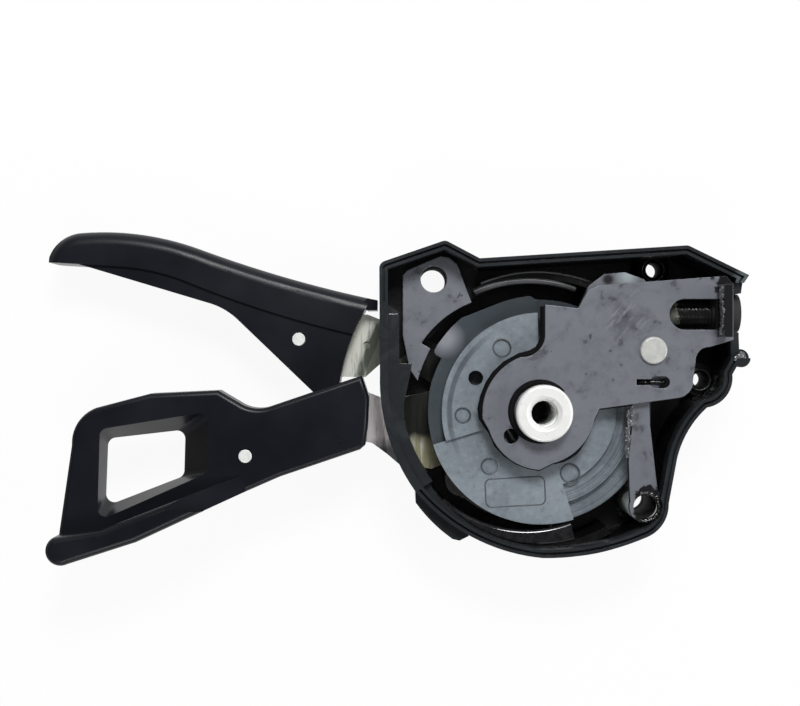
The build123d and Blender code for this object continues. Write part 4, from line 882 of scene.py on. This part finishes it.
def lipPiece(name, lip):
    made = bmesh.new()
    rings = []
    for step in range(lip["steps"] + 1):
        angle = math.radians(lip["start"] + (lip["end"] - lip["start"]) * step / lip["steps"])
        across = Vector((math.cos(angle), math.sin(angle)))
        shift = Vector(lip["centre"])
        along = shift.dot(across)
        inner = along + math.sqrt(lip["inner"] ** 2 - shift.length_squared + along ** 2)
        outer = inner + lip["width"] if lip["width"] else lip["wall"]
        profile = [(outer, lip["bottom"]), (inner, lip["bottom"])]
        profile += quarterRound(inner, lip["top"], lip["round"], lip["rows"], True)
        profile += quarterRound(outer, lip["top"], outerShare * lip["round"], lip["rows"], False)
        rings.append([made.verts.new((r * across.x * mm, r * across.y * mm, z * mm)) for r, z in profile])
    for here, there in zip(rings, rings[1:]):
        for i in range(len(here)):
            j = (i + 1) % len(here)
            made.faces.new((here[i], here[j], there[j], there[i]))
    made.faces.new(rings[0])
    made.faces.new(list(reversed(rings[-1])))
    bmesh.ops.recalc_face_normals(made, faces=made.faces)
    piece = meshPiece(name, made, pieceFinishes[lip["finish"]])
    piece.data.polygons.foreach_set("use_smooth", [True] * len(piece.data.polygons))
    piece.data.set_sharp_from_angle(angle=math.radians(lipSharpAngle))
    carried(piece, "tray")


lips = {
    "chamberLip": {"centre": (-2.2, 0.9), "inner": 19.4, "width": 0, "wall": 20.85, "bottom": 11.22,
                   "top": 11.9, "round": 0.6, "start": 222.0, "end": 285.0, "steps": 60, "rows": 10,
                   "finish": "wetPlastic"},
    "wallBandLip": {"centre": (-1.9, 0.0), "inner": 20.05, "width": 0.9, "bottom": 11.25, "top": 11.9,
                    "round": 0.44, "start": 74.0, "end": 119.0, "steps": 44, "rows": 8, "finish": "wallBandHighlight"},
    "wallEdgeLip": {"centre": (-0.6, 0.2), "inner": 21.55, "width": 0.3, "bottom": 11.25, "top": 11.75,
                    "round": 0.14, "start": 70.0, "end": 115.0, "steps": 44, "rows": 5, "finish": "wallBandHighlight"},
}
for lipName, lipSizes in lips.items():
    lipPiece(lipName, lipSizes)
print("lips made:", len(lips))


# Step along the inside of the bridge over the lever slot

slotStep = {"low": 11.5, "high": 13.9, "round": 0.06,
            "outline": [(-22.9, 7.6), (-22.9, -0.9), (-21.35, -0.9), (-21.38, 1.5), (-20.92, 3.5),
                        (-20.4, 6.0), (-20.15, 7.6)]}

def makeSlotStep():
    made = bmesh.new()
    corners = [Vector((x, y, slotStep["low"])) * mm for x, y in slotStep["outline"]]
    bottom = made.faces.new([made.verts.new(corner) for corner in corners])
    raised = bmesh.ops.extrude_face_region(made, geom=[bottom], use_keep_orig=True)
    rise = Vector((0, 0, (slotStep["high"] - slotStep["low"]) * mm))
    tops = [v for v in raised["geom"] if isinstance(v, bmesh.types.BMVert)]
    bmesh.ops.translate(made, verts=tops, vec=rise)
    edges = [edge for edge in made.edges if all(v in tops for v in edge.verts)]
    bmesh.ops.bevel(made, geom=edges, offset=slotStep["round"] * mm, segments=bevelSegments,
                    profile=0.5, affect="EDGES")
    bmesh.ops.recalc_face_normals(made, faces=made.faces)
    carried(meshPiece("slotStep", made, finishes["tray_plastic"]), "tray")


makeSlotStep()
print("slot step made")


# Springs remade from their node, with rows of points cut along the leg

bentSprings = {
    "release_lever_spring": {"piece": "releaseSpringWire", "moves": "release_lever",
                             "start": (5.50, -13.9, 5.9), "end": (4.98, -11.8, 5.9)},
    "holding_pawl_spring": {"piece": "pawlSpringWire", "moves": "holding_pawl",
                            "start": (14.7, 11.76, 6.7), "end": (13.0, 11.92, 6.7)},
}
springCuts = 8

def bendSpring(node, spring):
    start, end = Vector(spring["start"]) * mm, Vector(spring["end"]) * mm
    made = bmesh.new()
    made.from_mesh(nodes[node].data)
    bmesh.ops.remove_doubles(made, verts=made.verts, dist=weldDistance)
    bmesh.ops.dissolve_limit(made, angle_limit=flatAngle, verts=made.verts, edges=made.edges)
    for i in range(springCuts + 1):  # rows of points along the leg
        everything = made.verts[:] + made.edges[:] + made.faces[:]
        place = start.lerp(end, i / springCuts)
        bmesh.ops.bisect_plane(made, geom=everything, plane_co=place, plane_no=end - start)
    wire = meshPiece(spring["piece"], made, finishes["spring_steel"])
    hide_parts(node)
    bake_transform(wire)


for springNode, springSizes in bentSprings.items():
    bendSpring(springNode, springSizes)
print("bending springs made:", len(bentSprings))


# Stage: floor, light, camera

stageSizes = {"floorSize": 1.6, "floorDrop": -0.0002, "floorColour": 0.92, "floorRough": 0.9,
              "floorGlow": 0.93}

def makeFloor():
    mesh = bpy.data.meshes.new("floor")
    half = stageSizes["floorSize"] / 2
    corners = [(x * half, y * half, stageSizes["floorDrop"]) for x, y in ((-1, -1), (1, -1), (1, 1), (-1, 1))]
    mesh.from_pydata(corners, [], [(0, 1, 2, 3)])
    floor = bpy.data.objects.new("floor", mesh)
    scene.collection.objects.link(floor)
    material, tree, shader = newMaterial("paleFloor", (stageSizes["floorColour"],) * 3, specular=0.1)
    shader.inputs["Roughness"].default_value = stageSizes["floorRough"]
    glow = tree.nodes.new("ShaderNodeEmission")
    glow.inputs["Color"].default_value = (1, 1, 1, 1)
    rays = tree.nodes.new("ShaderNodeLightPath")
    seen = combine(tree, "MAXIMUM", rays.outputs["Is Glossy Ray"], rays.outputs["Is Transmission Ray"])
    seen = combine(tree, "MAXIMUM", rays.outputs["Is Camera Ray"], seen)
    mixer = tree.nodes.new("ShaderNodeMixShader")
    tree.links.new(times(tree, seen, stageSizes["floorGlow"]), mixer.inputs["Fac"])
    tree.links.new(shader.outputs["BSDF"], mixer.inputs[1])
    tree.links.new(glow.outputs["Emission"], mixer.inputs[2])
    tree.links.new(mixer.outputs["Shader"], tree.nodes["Material Output"].inputs["Surface"])
    mesh.materials.append(material)


studio = {"horizon": 0.85, "low": 0.60, "high": 0.22, "zenith": 0.10, "leftShare": 0.28}

def makeWorld():
    world = bpy.data.worlds.new("studio")
    world.use_nodes = True
    scene.world = world
    tree = world.node_tree
    background = tree.nodes["Background"]
    coordinates = tree.nodes.new("ShaderNodeTexCoord")
    split = tree.nodes.new("ShaderNodeSeparateXYZ")
    tree.links.new(coordinates.outputs["Generated"], split.inputs["Vector"])
    levels = {0.0: "horizon", 0.35: "low", 0.7: "high", 1.0: "zenith"}
    stops = [(height, (studio[name],) * 3) for height, name in levels.items()]
    shade = ramp(tree, split.outputs["Z"], stops)
    side = remap(tree, split.outputs["X"], -1, 1, studio["leftShare"], 1)
    seen = tree.nodes.new("ShaderNodeLightPath").outputs["Is Camera Ray"]  # white behind the object
    tree.links.new(mixColour(tree, seen, shade, (1.0, 1.0, 1.0)), background.inputs["Color"])
    tree.links.new(combine(tree, "MAXIMUM", side, seen), background.inputs["Strength"])


lamps = {
    "key": {"place": (0.045, 0.31, 0.42), "size": 0.16, "power": 1.5},
    "right": {"place": (0.42, -0.05, 0.28), "size": 0.24, "power": 0.70},
    "low": {"place": (-0.06, -0.34, 0.36), "size": 0.24, "power": 0.56},
    "left": {"place": (-0.045, 0.33, 0.42), "size": 0.20, "power": 0.55},
}
lampAim = Vector((-0.02, 0.005, 0))

def makeLamps():
    for name, lamp in lamps.items():
        light = bpy.data.lights.new(name, "AREA")
        light.shape = "DISK"
        light.size = lamp["size"]
        light.energy = lamp["power"]
        holder = bpy.data.objects.new(name, light)
        holder.location = lamp["place"]
        aim = lampAim - holder.location
        holder.rotation_euler = aim.to_track_quat("-Z", "Y").to_euler()
        scene.collection.objects.link(holder)


view = {"place": (-22.0, 9.2, 220.0), "focalPixels": 1331.0, "imageWidth": 800, "sensor": 36,
        "clipStart": 0.01}

def makeCamera():
    camera = bpy.data.cameras.new("camera")
    camera.sensor_width = view["sensor"]
    camera.sensor_fit = "HORIZONTAL"
    camera.lens = view["sensor"] * view["focalPixels"] / view["imageWidth"]
    camera.clip_start = view["clipStart"]
    holder = bpy.data.objects.new("camera", camera)
    holder.location = Vector(view["place"]) * mm
    scene.collection.objects.link(holder)
    scene.camera = holder


makeFloor()
makeWorld()
makeLamps()
makeCamera()
scene.view_settings.view_transform = "Standard"
print("stage made")
